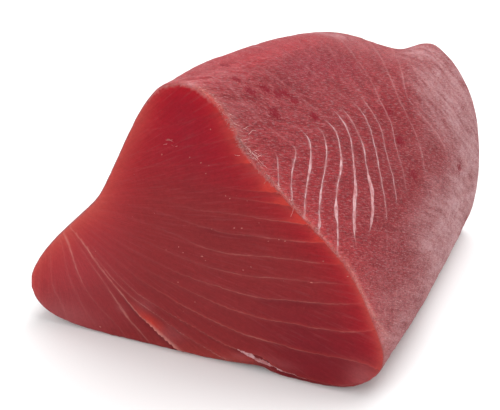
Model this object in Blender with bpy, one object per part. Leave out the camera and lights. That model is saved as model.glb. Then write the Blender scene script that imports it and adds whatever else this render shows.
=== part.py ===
"""Raw tuna steak: one thick block cut straight across a tuna loin, lying on its flat side.

+X runs from the thin belly tip to the heel of the round flank, +Y from the near cut to the
far cut, and +Z is up. The origin is on the table, under the middle of the block's box.
"""

import math

import bmesh
import bpy
import numpy as np
from mathutils import Vector

MM = 0.001

# The block.
BLOCK_LENGTH = 122 * MM          # from the near cut to the far cut, along the fish
NEAR_LEAN = 2.0 * MM             # how far the near cut's top lies behind its foot
FAR_LEAN = -8.0 * MM             # the far cut's top lies in front of its foot
NEAR_DOME = 1.6 * MM             # how far the middle of the near cut stands forward
FAR_DOME = 3.0 * MM
EDGE_ROUND = 0.9 * MM            # the knife's edge, where a cut meets the outside

# The long lines of the block. Each passes through three places, as (x, z) in mm: on the near
# cut, half way along, and on the far cut. x is counted from the heel of the near cut.
LONG_LINES = {
    "sole": ((-94, 0), (-86, 0), (-78, 0)),
    "toe": ((-125, 5), (-117, 4), (-106, 4)),
    "tip": ((-130, 17), (-123, 17), (-112, 18)),
    "brow": ((-115, 40), (-109, 38), (-99, 36)),
    "waist": ((-98, 58), (-93, 54), (-85, 50)),
    "neck": ((-85.5, 82.5), (-81, 77), (-73, 68)),
    "crown_left": ((-71.5, 103), (-67.5, 95.5), (-58, 83)),
    "crown_right": ((-58.5, 102.3), (-49, 96), (-40, 85)),
    "cheek": ((-46, 85.5), (-31, 87), (-18.5, 81)),
    "flank_high": ((-27, 66), (-14, 75), (-8, 86.5)),
    "flank_mid": ((-10, 49), (0, 57), (8, 71)),
    "flank_low": ((-0.5, 31), (8.5, 37), (15.5, 49)),
    "heel_high": ((4.5, 15), (12.5, 17), (17.5, 20)),
    "heel_low": ((-2.5, 4.5), (8, 4), (14, 4)),
    "heel": ((-16, 0), (-6, 0), (2, 0)),
}

# How finely the solid is drawn.
POINTS_ROUND = 80
RINGS_ALONG = 26
RINGS_IN_CUT = 6

FLESH_COLOUR = (0.42, 0.035, 0.045, 1.0)
FLESH_ROUGHNESS = 0.35


def closed_spline(points, count):
    """count points spread evenly along a smooth closed curve through points."""
    fine = []
    steps = 24
    total = len(points)
    for i in range(total):
        before, start, end, after = (points[(i + k) % total] for k in (-1, 0, 1, 2))
        for step in range(steps):
            fine.append(catmull_rom(before, start, end, after, step / steps))
    fine = np.array(fine)
    gaps = np.linalg.norm(np.diff(np.vstack([fine, fine[:1]]), axis=0), axis=1)
    along = np.concatenate([[0.0], np.cumsum(gaps)])
    wanted = np.linspace(0.0, along[-1], count, endpoint=False)
    looped = np.vstack([fine, fine[:1]])
    return np.stack([np.interp(wanted, along, looped[:, k]) for k in range(2)], axis=1)


def catmull_rom(before, start, end, after, t):
    """The centripetal spline between start and end, at t from 0 to 1."""
    points = [np.array(p, float) for p in (before, start, end, after)]
    knots = [0.0]
    for a, b in zip(points, points[1:]):
        knots.append(knots[-1] + math.sqrt(np.linalg.norm(b - a)))
    at = knots[1] + t * (knots[2] - knots[1])
    for level in range(1, 4):
        points = [
            (a * (knots[i + level] - at) + b * (at - knots[i])) / (knots[i + level] - knots[i])
            for i, (a, b) in enumerate(zip(points, points[1:]))
        ]
    return points[0]


def along_line(places, share):
    """The (x, z) of a long line at a share of the length: the parabola through its places."""
    near, middle, far = (np.array(place, float) for place in places)
    return (
        near * (1 - share) * (1 - 2 * share)
        + middle * 4 * share * (1 - share)
        + far * share * (2 * share - 1)
    )


def section(share):
    """The outline across the block at a share of its length, as (x, z) points in metres."""
    corners = [along_line(places, share) * MM for places in LONG_LINES.values()]
    outline = closed_spline(corners, POINTS_ROUND)
    outline[:, 1] = np.maximum(outline[:, 1], 0.0)
    return outline


def depth_of(share, outline, dome):
    """How far back each point of an outline lies: both cuts lean, and their middles stand out."""
    top = max(near[1] for near, _, _ in LONG_LINES.values()) * MM
    height = outline[:, 1] / top
    near = NEAR_LEAN * height
    far = BLOCK_LENGTH + FAR_LEAN * height
    return near + (far - near) * share + dome


def ring(share, inward=0.0, dome=0.0):
    """One ring of the block: an outline, drawn in towards its middle by inward, from 0 to 1."""
    outline = section(share)
    middle = outline.mean(axis=0)
    outline = outline + (middle - outline) * inward
    depth = depth_of(share, outline, dome)
    return np.stack([outline[:, 0], depth, outline[:, 1]], axis=1)


def cut_rings(share, dome):
    """The rings of a cut face, from its middle out to the rounded knife edge."""
    rings = []
    for i in range(1, RINGS_IN_CUT + 1):
        inward = 1 - i / (RINGS_IN_CUT + 0.15)
        rings.append(ring(share, inward, dome * (1 - (1 - inward) ** 2)))
    return rings


def block_rings():
    """Every ring in order: out over the near cut, along the outside, and in over the far cut."""
    edge = EDGE_ROUND / BLOCK_LENGTH
    shares = np.linspace(edge, 1 - edge, RINGS_ALONG)
    near = cut_rings(0.0, -NEAR_DOME)
    far = cut_rings(1.0, FAR_DOME)
    return near + [ring(share) for share in shares] + far[::-1]


def joined(rings):
    """One closed mesh from the rings, with a fan at each end."""
    bm = bmesh.new()
    loops = [[bm.verts.new(point) for point in points] for points in rings]
    for first, second in zip(loops, loops[1:]):
        for i in range(POINTS_ROUND):
            j = (i + 1) % POINTS_ROUND
            bm.faces.new((first[i], first[j], second[j], second[i]))
    for loop in (loops[0], loops[-1]):
        middle = sum((v.co for v in loop), Vector()) / len(loop)
        centre = bm.verts.new(middle)
        for i in range(POINTS_ROUND):
            bm.faces.new((loop[i], loop[(i + 1) % POINTS_ROUND], centre))
    bmesh.ops.recalc_face_normals(bm, faces=bm.faces)
    return bm


def stand_on_origin(bm):
    """Moves the mesh so that the origin lies under the middle of its box, on the table."""
    places = np.array([v.co for v in bm.verts])
    low, high = places.min(axis=0), places.max(axis=0)
    shift = Vector((-(low[0] + high[0]) / 2, -(low[1] + high[1]) / 2, -low[2]))
    bmesh.ops.translate(bm, verts=bm.verts, vec=shift)


def flesh_material():
    material = bpy.data.materials.new("tuna_flesh")
    material.use_nodes = True
    shader = material.node_tree.nodes["Principled BSDF"]
    shader.inputs["Base Color"].default_value = FLESH_COLOUR
    shader.inputs["Roughness"].default_value = FLESH_ROUGHNESS
    shader.inputs["Metallic"].default_value = 0.0
    return material


def make_tuna_block():
    bm = joined(block_rings())
    stand_on_origin(bm)
    mesh = bpy.data.meshes.new("tuna_block")
    bm.to_mesh(mesh)
    bm.free()
    mesh.shade_smooth()
    mesh.set_sharp_from_angle(angle=math.radians(40))
    mesh.materials.append(flesh_material())
    block = bpy.data.objects.new("tuna_block", mesh)
    bpy.context.scene.collection.objects.link(block)
    return block


def main():
    for obj in list(bpy.data.objects):
        bpy.data.objects.remove(obj)
    make_tuna_block()


main()
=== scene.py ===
"""Raw tuna steak: the looks of one thick block cut straight across a tuna loin.

Lengths are in metres unless a name ends in _MM, and +Z is up. The near cut faces -Y, the round
flank faces +X and the thin belly tip points to -X. Two ways of naming a place are used: across a
cut, (x, z) in mm; on the outside, how far back it lies from the near cut and how far it is round
from the ridge, down the flank, both in mm.
"""

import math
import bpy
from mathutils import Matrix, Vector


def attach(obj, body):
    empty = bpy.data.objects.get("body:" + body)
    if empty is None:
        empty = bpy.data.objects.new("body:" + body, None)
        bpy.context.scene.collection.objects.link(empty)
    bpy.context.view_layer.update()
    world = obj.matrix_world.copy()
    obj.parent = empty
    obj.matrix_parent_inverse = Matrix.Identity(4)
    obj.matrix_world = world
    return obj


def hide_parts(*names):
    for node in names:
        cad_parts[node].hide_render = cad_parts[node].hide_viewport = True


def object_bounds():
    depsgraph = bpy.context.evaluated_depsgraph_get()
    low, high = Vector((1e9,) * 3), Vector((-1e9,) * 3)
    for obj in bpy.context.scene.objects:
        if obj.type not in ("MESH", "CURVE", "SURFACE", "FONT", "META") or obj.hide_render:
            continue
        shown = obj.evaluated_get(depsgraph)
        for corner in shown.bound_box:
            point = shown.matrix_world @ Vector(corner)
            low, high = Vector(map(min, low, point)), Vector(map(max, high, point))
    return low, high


bl_info = {
    "name": "Raw tuna steak",
    "version": (1, 0, 0),
    "blender": (4, 5, 0),
    "location": "3D View > Sidebar > Tuna",
    "description": "Builds a block of raw tuna: flesh, white seams, frayed fibres and scraps",
    "category": "Object",
}

import bmesh
import bpy
import numpy as np
from bpy.props import FloatProperty, FloatVectorProperty, IntProperty, PointerProperty
from mathutils import Vector
from mathutils.bvhtree import BVHTree
from mathutils.geometry import delaunay_2d_cdt
from mathutils.kdtree import KDTree

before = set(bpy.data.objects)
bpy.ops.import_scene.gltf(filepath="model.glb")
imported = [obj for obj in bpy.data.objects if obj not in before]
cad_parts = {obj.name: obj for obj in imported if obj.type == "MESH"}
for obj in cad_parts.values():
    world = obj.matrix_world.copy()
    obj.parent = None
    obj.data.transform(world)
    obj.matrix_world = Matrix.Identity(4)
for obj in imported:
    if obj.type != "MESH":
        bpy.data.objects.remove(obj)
CAD_BOX = [list(corner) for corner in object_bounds()]
BODY = "root"
NODE = "tuna_block"

MM = 0.001

# The two cuts. Their feet are where they meet the table, and they lean as they rise.
NEAR_FOOT_MM = -60.95
FAR_FOOT_MM = 61.05
NEAR_LEAN_MM = 2.0
FAR_LEAN_MM = -8.0
CROWN_MM = CAD_BOX[1][2] / MM
RIDGE_NEAR_MM = -9.5             # where the ridge starts at the near cut
RIDGE_DRIFT = 0.165              # how fast the ridge moves towards +X on the way back
FLANK_MM = 128.0                 # from the ridge down to the heel


def paint(red, green, blue):
    """A linear colour from display values of 0 to 255."""
    shares = [value / 255 for value in (red, green, blue)]
    return tuple(s / 12.92 if s <= 0.04045 else ((s + 0.055) / 1.055) ** 2.4 for s in shares)


# ---------------------------------------------------------------------------------------------
# Settings


LENGTH = {"unit": "LENGTH", "subtype": "DISTANCE"}
ANGLE = {"unit": "ROTATION", "subtype": "ANGLE"}


def tint(name, description, *display):
    """A colour setting, given in display values of 0 to 255."""
    return FloatVectorProperty(name=name, description=description, default=paint(*display),
                               subtype="COLOR", min=0, max=1)


def measure(name, description, default, kind=FloatProperty, **limits):
    """A setting that is one number."""
    return kind(name=name, description=description, default=default, **limits)


class TunaFleshSettings(bpy.types.PropertyGroup):
    """Sizes and colours of the flesh."""

    fine_mm: measure("Fine spacing", "Mesh spacing on the flank, in mm", 0.66, min=0.3, max=3)
    coarse_mm: measure("Coarse spacing", "Mesh spacing where the block is plain, in mm", 1.55,
                       min=0.5, max=5)
    near_mm: measure("Near cut spacing", "Mesh spacing on the near cut, in mm", 0.76,
                     min=0.3, max=4)
    far_mm: measure("Far cut spacing", "Mesh spacing on the far cut, in mm", 1.2, min=0.3, max=4)
    step: measure("Layer step", "How far each muscle layer stands above the next on a cut",
                  0.00016, **LENGTH)
    core: tint("Core", "Red of the middle of the cut", 126, 35, 38)
    crown: tint("Crown", "Clear red of the top of the cut", 137, 20, 35)
    heel: tint("Heel", "Dark red of the heel of the cut", 114, 20, 30)
    tip: tint("Tip", "Pinkish red of the thin belly tip", 147, 49, 56)
    # Painted glow: the red and the orange that light coming through the edge of a cut gives.
    glow: tint("Edge glow", "Bright red where light comes through the edge", 157, 0, 25)
    ember: tint("Edge orange", "Orange of the very edge", 180, 74, 67)
    skin: tint("Outside", "Rosy red of the outside", 131, 43, 48)
    # Frost and painted sheen: a pale pink film on the outside, with the sheen it shows where
    # light comes at a glancing angle.
    frost_and_sheen: tint("Frost", "Pale pink haze of the outside", 181, 136, 138)
    blush: tint("Blush", "Clear red of the outside where no frost lies", 127, 33, 43)
    salmon: tint("Salmon", "Pinker red of the far shoulder and of pale marbling", 148, 70, 73)
    # Painted glow: the outside is brighter red next to the cut, where light comes through the
    # thin edge.
    edge: tint("Flank edge", "Brighter red of the outside next to the cut", 182, 64, 66)
    crest: tint("Crest", "Brighter red along the ridge", 152, 42, 49)
    vein: tint("Flank lines", "Fine pale lines of the outside", 212, 158, 158)
    bruise: tint("Dark spots", "Dark red spots of the outside", 124, 14, 32)
    # Painted glow: the orange red where light comes through the thin torn flap, also used for the
    # glow above each layer's lower seam.
    flap_glow: tint("Torn flap", "Orange red of the thin torn flap at the foot", 196, 58, 45)
    seam: tint("Seams", "Pale lines between the muscle layers", 205, 140, 130)
    roughness: measure("Roughness", "How matt the moist flesh is", 0.46, min=0, max=1)


class TunaSeamSettings(bpy.types.PropertyGroup):
    """Sizes and colours of the white seams on the flank."""

    thickness: measure("Thickness", "How flat a seam is, as a share of its width", 0.3,
                       min=0.05, max=1)
    colour: tint("White", "Colour of the seam tissue", 202, 156, 158)


class TunaFibreSettings(bpy.types.PropertyGroup):
    """Sizes and colours of frayed fibres and scraps."""

    edge_count: measure("Edge fibres", "Fibres frayed from the edge of the near cut", 260,
                        IntProperty, min=0, max=4000)
    fuzz_count: measure("Fuzz", "Short fibres that lie on the flank", 1500, IntProperty,
                        min=0, max=8000)
    colour: tint("Fibre", "Colour of the pale fibres", 180, 116, 114)
    thread_count: measure("Edge threads", "Curly white threads round the frayed edge", 120,
                          IntProperty, min=0, max=4000)
    thread: tint("Thread", "Colour of the white threads", 250, 206, 200)
    scrap: tint("Scrap", "Colour of the small scraps", 182, 104, 99)


class TunaStageSettings(bpy.types.PropertyGroup):
    """The floor, the lights and the camera."""

    floor: FloatVectorProperty(name="Floor", description="Colour of the floor",
                               default=(0.86, 0.86, 0.86), subtype="COLOR", min=0, max=1)
    sky: measure("Surroundings", "Strength of the pale surroundings", 0.8, min=0, max=5)
    key: measure("Key light", "Power of the large soft light, in watts", 10, min=0, max=500)
    fill: measure("Fill light", "Power of the soft front light, in watts", 3, min=0, max=500)
    lens: measure("Lens", "Focal length in mm", 64.8, min=10)
    azimuth: measure("Azimuth", "How far the camera is round from the near cut",
                     math.radians(20), **ANGLE)
    elevation: measure("Elevation", "How high the camera looks down from", math.radians(30),
                       **ANGLE)
    distance: measure("Distance", "From the camera to what it looks at", 0.4125, **LENGTH)


# ---------------------------------------------------------------------------------------------
# Small helpers


def smooth_step(low, high, value):
    t = np.clip((np.asarray(value, float) - low) / (high - low), 0.0, 1.0)
    return t * t * (3 - 2 * t)


def hump(middle, width, value):
    """A soft bump of 1 at middle, falling to 0 about width away."""
    return np.exp(-(((np.asarray(value, float) - middle) / width) ** 2) * 2)


def band(start, full, fade, end, value):
    """Rises from 0 to 1 between start and full, and falls again between fade and end."""
    return smooth_step(start, full, value) * smooth_step(end, fade, value)


def mixed(first, second, share):
    share = np.asarray(share, float)[..., None]
    return np.asarray(first, float) * (1 - share) + np.asarray(second, float) * share


def unit(vectors):
    return vectors / np.linalg.norm(vectors, axis=-1, keepdims=True)


def bell(reach, size_mm):
    """Even weights of a soft bell, half a millimetre apart, reach steps either way."""
    weights = np.exp(-((np.arange(-reach, reach + 1) * 0.5 / size_mm) ** 2) / 2)
    return weights / weights.sum()


def linked(name, data):
    """A new object of the scene."""
    made = bpy.data.objects.new(name, data)
    bpy.context.scene.collection.objects.link(made)
    return made


def lumps(places, size, seed):
    """Smooth seeded noise from -1 to 1 over places, with lumps about size across."""
    rng = np.random.default_rng(seed)
    table = rng.uniform(-1, 1, 4096)
    scaled = np.asarray(places, float) / size
    cell = np.floor(scaled).astype(np.int64)
    t = scaled - cell
    t = t * t * (3 - 2 * t)
    total = np.zeros(len(scaled))
    for corner in range(2 ** scaled.shape[1]):
        offset = [(corner >> axis) & 1 for axis in range(scaled.shape[1])]
        weight = np.ones(len(scaled))
        key = np.full(len(scaled), seed, np.int64)
        for axis, step in enumerate(offset):
            weight *= t[:, axis] if step else 1 - t[:, axis]
            key = (key * 73856093) ^ ((cell[:, axis] + step) * (19349663 + 83492791 * axis))
        key = (key ^ (key >> 13)) * 1274126177
        total += weight * table[(key ^ (key >> 16)) & 4095]
    return total


# ---------------------------------------------------------------------------------------------
# The block's own surface, read from the solid


def solid():
    """The corners of the solid in mm, its edges and its triangles."""
    bm = bmesh.new()
    bm.from_mesh(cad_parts[NODE].data)
    bmesh.ops.remove_doubles(bm, verts=bm.verts, dist=1e-6)
    bmesh.ops.triangulate(bm, faces=bm.faces)
    corners = np.array([v.co for v in bm.verts]) / MM
    edges = np.array([[v.index for v in e.verts] for e in bm.edges])
    faces = [[v.index for v in f.verts] for f in bm.faces]
    bm.free()
    return corners, edges, faces


def near_y(z):
    return NEAR_FOOT_MM + NEAR_LEAN_MM * z / CROWN_MM


def far_y(z):
    return FAR_FOOT_MM + FAR_LEAN_MM * z / CROWN_MM


def slice_y(z, share):
    """Where a slice of the block lies at a height, at a share of the block's length."""
    return near_y(z) * (1 - share) + far_y(z) * share


def outline_at(corners, edges, share):
    """The smooth outline across the block at a share of its length: (x, z) rows, a place every
    half millimetre, from the ridge down the flank and on round."""
    near, far = near_y(corners[:, 2]), far_y(corners[:, 2])
    side = (corners[:, 1] - near) / (far - near) - share
    first, second = corners[edges[:, 0]], corners[edges[:, 1]]
    a, b = side[edges[:, 0]], side[edges[:, 1]]
    crossed = (a < 0) != (b < 0)
    t = (a[crossed] / (a[crossed] - b[crossed]))[:, None]
    points = (first[crossed] * (1 - t) + second[crossed] * t)[:, [0, 2]]
    middle = (points.min(axis=0) + points.max(axis=0)) / 2 * (1, 0.8)
    turn = -np.arctan2(points[:, 1] - middle[1], points[:, 0] - middle[0])
    points = points[np.argsort((turn + 4) % (2 * math.pi))]
    soft = softened(even_loop(points, 0.5), 1.3)
    ridge_x = RIDGE_NEAR_MM + RIDGE_DRIFT * share * (FAR_FOOT_MM - NEAR_FOOT_MM)
    ahead = np.roll(soft, -1, axis=0)
    passes = (soft[:, 0] <= ridge_x) & (ahead[:, 0] > ridge_x) & (soft[:, 1] > middle[1])
    first = int(np.argmax(passes))
    part = (ridge_x - soft[first, 0]) / (ahead[first, 0] - soft[first, 0])
    start = soft[first] * (1 - part) + ahead[first] * part
    return even_loop(np.vstack([start, np.roll(soft, -first - 1, axis=0)]), 0.5)


def measured(points):
    """A closed loop's points with the first again at the end, and how far round each one is."""
    looped = np.vstack([points, points[:1]])
    return looped, np.concatenate([[0], np.cumsum(np.linalg.norm(np.diff(looped, axis=0),
                                                                 axis=1))])


def read_loop(looped, gaps, places):
    return np.stack([np.interp(places, gaps, looped[:, k]) for k in range(2)], axis=1)


def even_loop(points, spacing):
    """The points of a closed loop, spaced evenly from its first one."""
    looped, gaps = measured(points)
    return read_loop(looped, gaps, np.linspace(0, gaps[-1], int(gaps[-1] / spacing),
                                               endpoint=False))


def softened(loop, size_mm):
    """A loop of points half a millimetre apart with its corners eased, still flat at the foot."""
    padded = np.vstack([loop[-14:], loop, loop[:14]])
    soft = np.stack([np.convolve(padded[:, k], bell(14, size_mm), "valid") for k in range(2)],
                    axis=1)
    soft[:, 1] = np.where(loop[:, 1] < 0.05, 0.0, np.maximum(soft[:, 1], 0.0))
    return soft


def at_stations(outline, stations_flank, rest_count):
    """An outline read at fixed places down the flank and evenly over the rest."""
    looped, gaps = measured(outline)
    rest = np.linspace(FLANK_MM, gaps[-1], rest_count, endpoint=False)
    places = np.concatenate([stations_flank, rest])
    return read_loop(looped, gaps, places), places


# ---------------------------------------------------------------------------------------------
# The muscle layers

# On a cut, the seams between layers spread like a fan from where the belly meets the back, at
# FAN_PIVOT. Each row is one seam: its angle in degrees at each of these distances from there.
FAN_PIVOT_MM = (-61.9, 52.0)
FAN_REACH_MM = (10, 18, 26, 34, 42, 50, 58, 66, 74, 82, 90, 98, 106, 114, 122)
FAN_FIRST = -5
SEAM_FAN = (
    (88, 87, 85, 82, 78, 74, 71, 68, 66, 65, 63, 62, 61, 60, 60),
    (77, 75, 72, 69, 65, 61, 58, 56, 54, 52, 51, 50, 49, 48, 48),
    (65, 62, 60, 57.5, 54.5, 51, 48.5, 46, 44, 43, 41.5, 40.5, 39.5, 38.5, 38),
    (55, 52.5, 50, 47.5, 44.5, 41.5, 38.5, 36.5, 35, 34, 33, 32.2, 31.5, 31, 30.5),
    (46, 43.5, 41, 38.5, 36, 33.5, 31.5, 29.5, 28, 27, 26, 25.5, 25, 24.5, 24),
    (38, 36, 34, 31.5, 29, 27, 25, 23.2, 21.8, 20.7, 19.8, 19.3, 19, 18.7, 18.5),
    (31, 29, 27, 25, 23, 21, 19, 17, 14.9, 13.6, 13, 12.8, 12.6, 12.5, 12.5),
    (26, 24, 22, 20.5, 19, 17.5, 16, 14.3, 12.5, 11.3, 10.3, 9.9, 9.7, 9.6, 9.5),
    (20, 18.8, 17.5, 16, 14.2, 12, 9.5, 8.7, 8, 7.1, 6.6, 6.3, 6.2, 6.1, 6.1),
    (13, 12.5, 11.8, 10.3, 8.2, 6, 3.8, 2.5, 2.3, 2.6, 2.5, 3, 3.1, 3.2, 3.2),
    (4, 4, 3.3, 2, 0, -2, -3.9, -4, -3.3, -2.2, -1.8, -1.3, -0.8, -0.3, 0),
    (-8, -8.2, -8.8, -9.6, -10.4, -11.1, -10.9, -10.1, -9.3, -7.8, -6.5, -5.6, -4.6, -4, -3.5),
    (-16, -17, -18, -19, -19.1, -18.6, -17.5, -16, -15.2, -14, -11.8, -10.4, -9, -7.1, -6),
    (-23, -24, -25, -25.6, -25.4, -24.5, -23.3, -22.3, -21.2, -20, -18, -16.2, -14.8, -13.3,
     -10.9),
    (-30, -31.5, -32.5, -33.2, -33.3, -31.7, -30.7, -29, -27.6, -26.4, -24.3, -22.7, -20.9,
     -19.3, -18),
    (-36, -39, -40.8, -41.5, -41.5, -39.5, -37.1, -34.6, -33.6, -32.4, -30.9, -29.8, -28, -26,
     -24),
    (-41, -42.5, -45.2, -46.6, -45.7, -43.4, -41.6, -40.2, -38.3, -37.6, -36.5, -35, -33.5, -32,
     -30.5),
    (-43.5, -44.4, -47.9, -48.7, -48.7, -49.1, -47.7, -46.9, -46, -45, -44, -43, -42, -41.5, -41),
    (-50, -52, -53.1, -53.3, -54.4, -55.4, -54.2, -54, -54, -53.5, -53, -52.5, -52, -51.5, -51),
    (-62, -66, -69.5, -69.5, -66.8, -63.2, -61.5, -60.5, -60, -59.5, -59, -58.5, -58, -57.5, -57),
    (-74, -76, -78.6, -78.1, -75.9, -73, -71, -70, -69, -68.5, -68, -67, -66, -65.5, -65),
    (-90, -91.9, -93.7, -93.5, -88, -86, -84, -83, -82, -81.5, -81, -80.5, -80, -80, -80),
    *(np.round(np.linspace(near, far, 15), 1)
      for near, far in ((-104, -95), (-118, -107), (-134, -123), (-152, -141))),
)
# How strongly a seam shows on a cut at each of these distances from the pivot. Seams that are
# left out show as the last row says.
SHOW_REACH_MM = (12, 22, 34, 50, 66, 82, 98, 114)
CUT_SHOWS = {
    1: (0, 0, 0, 0, 0, 0.06, 0.03, 0), 2: (0, 0, 0, 0, 0, 0.10, 0.14, 0.1),
    3: (0, 0, 0, 0, 0.10, 0.17, 0.3, 0.3), 4: (0, 0, 0, 0.03, 0.16, 0.24, 0.34, 0.3),
    5: (0, 0, 0, 0.05, 0.22, 0.24, 0.24, 0.15), 6: (0, 0, 0, 0.06, 0.22, 0.26, 0.16, 0.1),
    7: (0, 0, 0, 0.06, 0.22, 0.30, 0.26, 0.2), 8: (0, 0, 0, 0.05, 0.18, 0.25, 0.22, 0.25),
    9: (0, 0, 0.03, 0.08, 0.22, 0.45, 0.26, 0.12), 10: (0, 0.05, 0.12, 0.2, 0.4, 0.6, 0.5, 0.3),
    11: (0, 0.1, 0.25, 0.4, 0.62, 0.75, 0.5, 0.3), 12: (1, 0.75, 0.38, 0.7, 1.2, 1.0, 0.4, 0.3),
    13: (0, 0.1, 0.2, 0.5, 0.4, 0.1, 0, 0), 14: (0.8, 0.5, 0.12, 0.05, 0.05, 0.05, 0, 0),
    15: (0.08, 0.1, 0.08, 0.05, 0.05, 0, 0, 0), 16: (0, 0.06, 0.10, 0.10, 0.05, 0, 0, 0),
    17: (0, 0.04, 0.06, 0.06, 0.03, 0, 0, 0),
}
# How much wider than a plain seam a few of them are, at the same distances.
CUT_WIDTHS = {
    10: (1, 1, 1, 1.2, 1.3, 1.7, 1.6, 1), 11: (1, 1, 1.2, 1.4, 1.6, 1.8, 1.4, 1),
    12: (2, 1.8, 1.5, 2, 2.6, 2, 1, 1), 13: (1, 1, 1.2, 2.4, 1.6, 1, 1, 1),
    14: (2, 1.6, 1.2, 1, 1, 1, 1, 1), 9: (1, 1, 1, 1, 1.2, 1.5, 1, 1),
}

# On the flank the seams fold about 38 mm below the ridge: each runs forward and up to the fold,
# and from there back over the ridge. Each row is one seam: how far back it lies, in mm, at each
# of these places down the flank.
FLANK_DOWN_MM = (0, 12, 22, 30, 36, 38.5, 41, 46, 51, 56, 61, 66, 71, 76, 84, 130)
FLANK_FIRST = -3
FLANK_SEAMS = [
    (4, 4.5, 5.8, 9, 10.7, 8.4, 5.8, 1.3, -4, -9, -14.5, -20, -26, -31, -40, -85),
    (12, 12.7, 13.5, 16.5, 18.4, 19.5, 14.4, 7.4, 2.4, -3.2, -9, -15, -20, -25, -33, -77),
    (21, 23.5, 25.5, 26.3, 26.8, 25.9, 23.9, 17.9, 9.5, 3.5, -3, -9, -14, -19, -27, -70),
    (29, 31, 31.8, 32.4, 33.3, 34, 32.4, 27.5, 19.1, 11.5, 5.5, -0.5, -6, -11, -19, -62),
    (37.5, 38, 38.9, 40.1, 39.8, 39.1, 39, 34.9, 30.3, 21.3, 14.5, 9.7, 4.3, -2, -10, -52),
    (46, 47, 47.3, 47.2, 46.6, 45.9, 45, 42.1, 37.2, 32, 27.6, 20.2, 14.3, 10.6, 2, -40),
    (53, 53, 52, 51.4, 50.7, 50.1, 49.3, 46.9, 44.2, 39.9, 36.2, 32.7, 26.9, 19.5, 10, -30),
    (64, 58.1, 56.9, 56.4, 57, 57.3, 57.1, 54.2, 50.7, 47.5, 43.3, 39.8, 36, 32.3, 25, -18),
    (97, 85, 72, 67, 63.5, 62.3, 61.5, 59.8, 57.5, 53.2, 50, 47.7, 44, 40.5, 34, -8),
    (114, 99, 87.2, 79.5, 73.6, 71.3, 69.4, 66.8, 64.5, 59.9, 57, 54.5, 51.5, 48.5, 43, 5),
    (140, 122, 107, 94.6, 86.2, 83.4, 80.9, 76.9, 74.9, 73.5, 72, 70, 67.5, 65, 61, 25),
    (158, 138, 122, 106, 95.5, 91.8, 88, 81.9, 81.3, 81.7, 83.1, 84.9, 85.5, 85.5, 85, 55),
    (170, 150, 135, 117, 104, 100, 98.3, 97, 97.7, 99.5, 101.6, 103.5, 105, 106, 107, 84),
    (180, 160, 145, 127, 113, 108, 105.6, 103.6, 103.9, 105, 106.6, 108.8, 111, 113, 117, 97),
]
NEXT_SEAM_MM = (8.5, 9.5)        # from the first and last row on to the plain rows past them
for _ in range(3):
    FLANK_SEAMS.insert(0, tuple(back - NEXT_SEAM_MM[0] for back in FLANK_SEAMS[0]))
for _ in range(7):
    FLANK_SEAMS.append(tuple(back + NEXT_SEAM_MM[1] for back in FLANK_SEAMS[-1]))
# How strongly each of them shows above the fold, from the first one.
FLANK_SHOWS = (0, 0, 0, 0.06, 0.20, 0.08, 0.07, 0.18, 0.08, 0.08, 0.18, 0.14, 0.27, 0.32, 0.22,
               0.20, 0.18, 0.12, 0.1, 0.1, 0.1, 0.1, 0.1, 0.1)


def between_lines(value, lines):
    """Where value falls among lines, which fall in order along the second axis."""
    above = (lines > value[:, None]).sum(axis=1)
    index = np.clip(above - 1, 0, lines.shape[1] - 2)
    row = np.arange(len(value))
    upper, lower = lines[row, index], lines[row, index + 1]
    return index + (upper - value) / (upper - lower)


def seam_lines(rows, stations, places, soften_mm):
    """Each row's value at each place: read between its stations, with the corners rounded."""
    fine = np.arange(stations[0] - 12, stations[-1] + 12, 0.5)
    reach = 24
    lines = []
    for row in rows:
        value = np.pad(np.interp(fine, stations, row), reach, mode="edge")
        value = np.convolve(value, bell(reach, soften_mm), "valid")
        lines.append(np.interp(places, fine, value))
    return np.stack(lines, axis=1)


def layer_on_cut(x, z):
    """The number of the muscle layer at places on a cut, whole on each seam."""
    dx, dz = x - FAN_PIVOT_MM[0], z - FAN_PIVOT_MM[1]
    angle = np.degrees(np.arctan2(dz, dx))
    angle = np.where(angle > 120, angle - 360, angle)
    lines = seam_lines(SEAM_FAN, FAN_REACH_MM, np.hypot(dx, dz), 2.0)
    places = np.stack([x, z], axis=1)
    waves = 0.03 * lumps(places, 14, 11) + 0.02 * lumps(places, 6, 12)
    return between_lines(angle, lines) + FAN_FIRST + waves


def layer_on_flank(back, down):
    """The number of the muscle layer at places on the flank."""
    lines = seam_lines(FLANK_SEAMS, FLANK_DOWN_MM, down, 1.3)
    places = np.stack([back, down], axis=1)
    waves = 0.02 * lumps(places, 9, 21) + 0.012 * lumps(places, 3.5, 22)
    return FLANK_FIRST + between_lines(-back, -lines) + waves


def rate_of(layer, a, b):
    """How many layers there are to a millimetre, at places (a, b)."""
    here = layer(a, b)
    step = 0.4
    return here, np.hypot((layer(a + step, b) - here) / step, (layer(a, b + step) - here) / step)


# ---------------------------------------------------------------------------------------------
# The skin of the block as a grid


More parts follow.
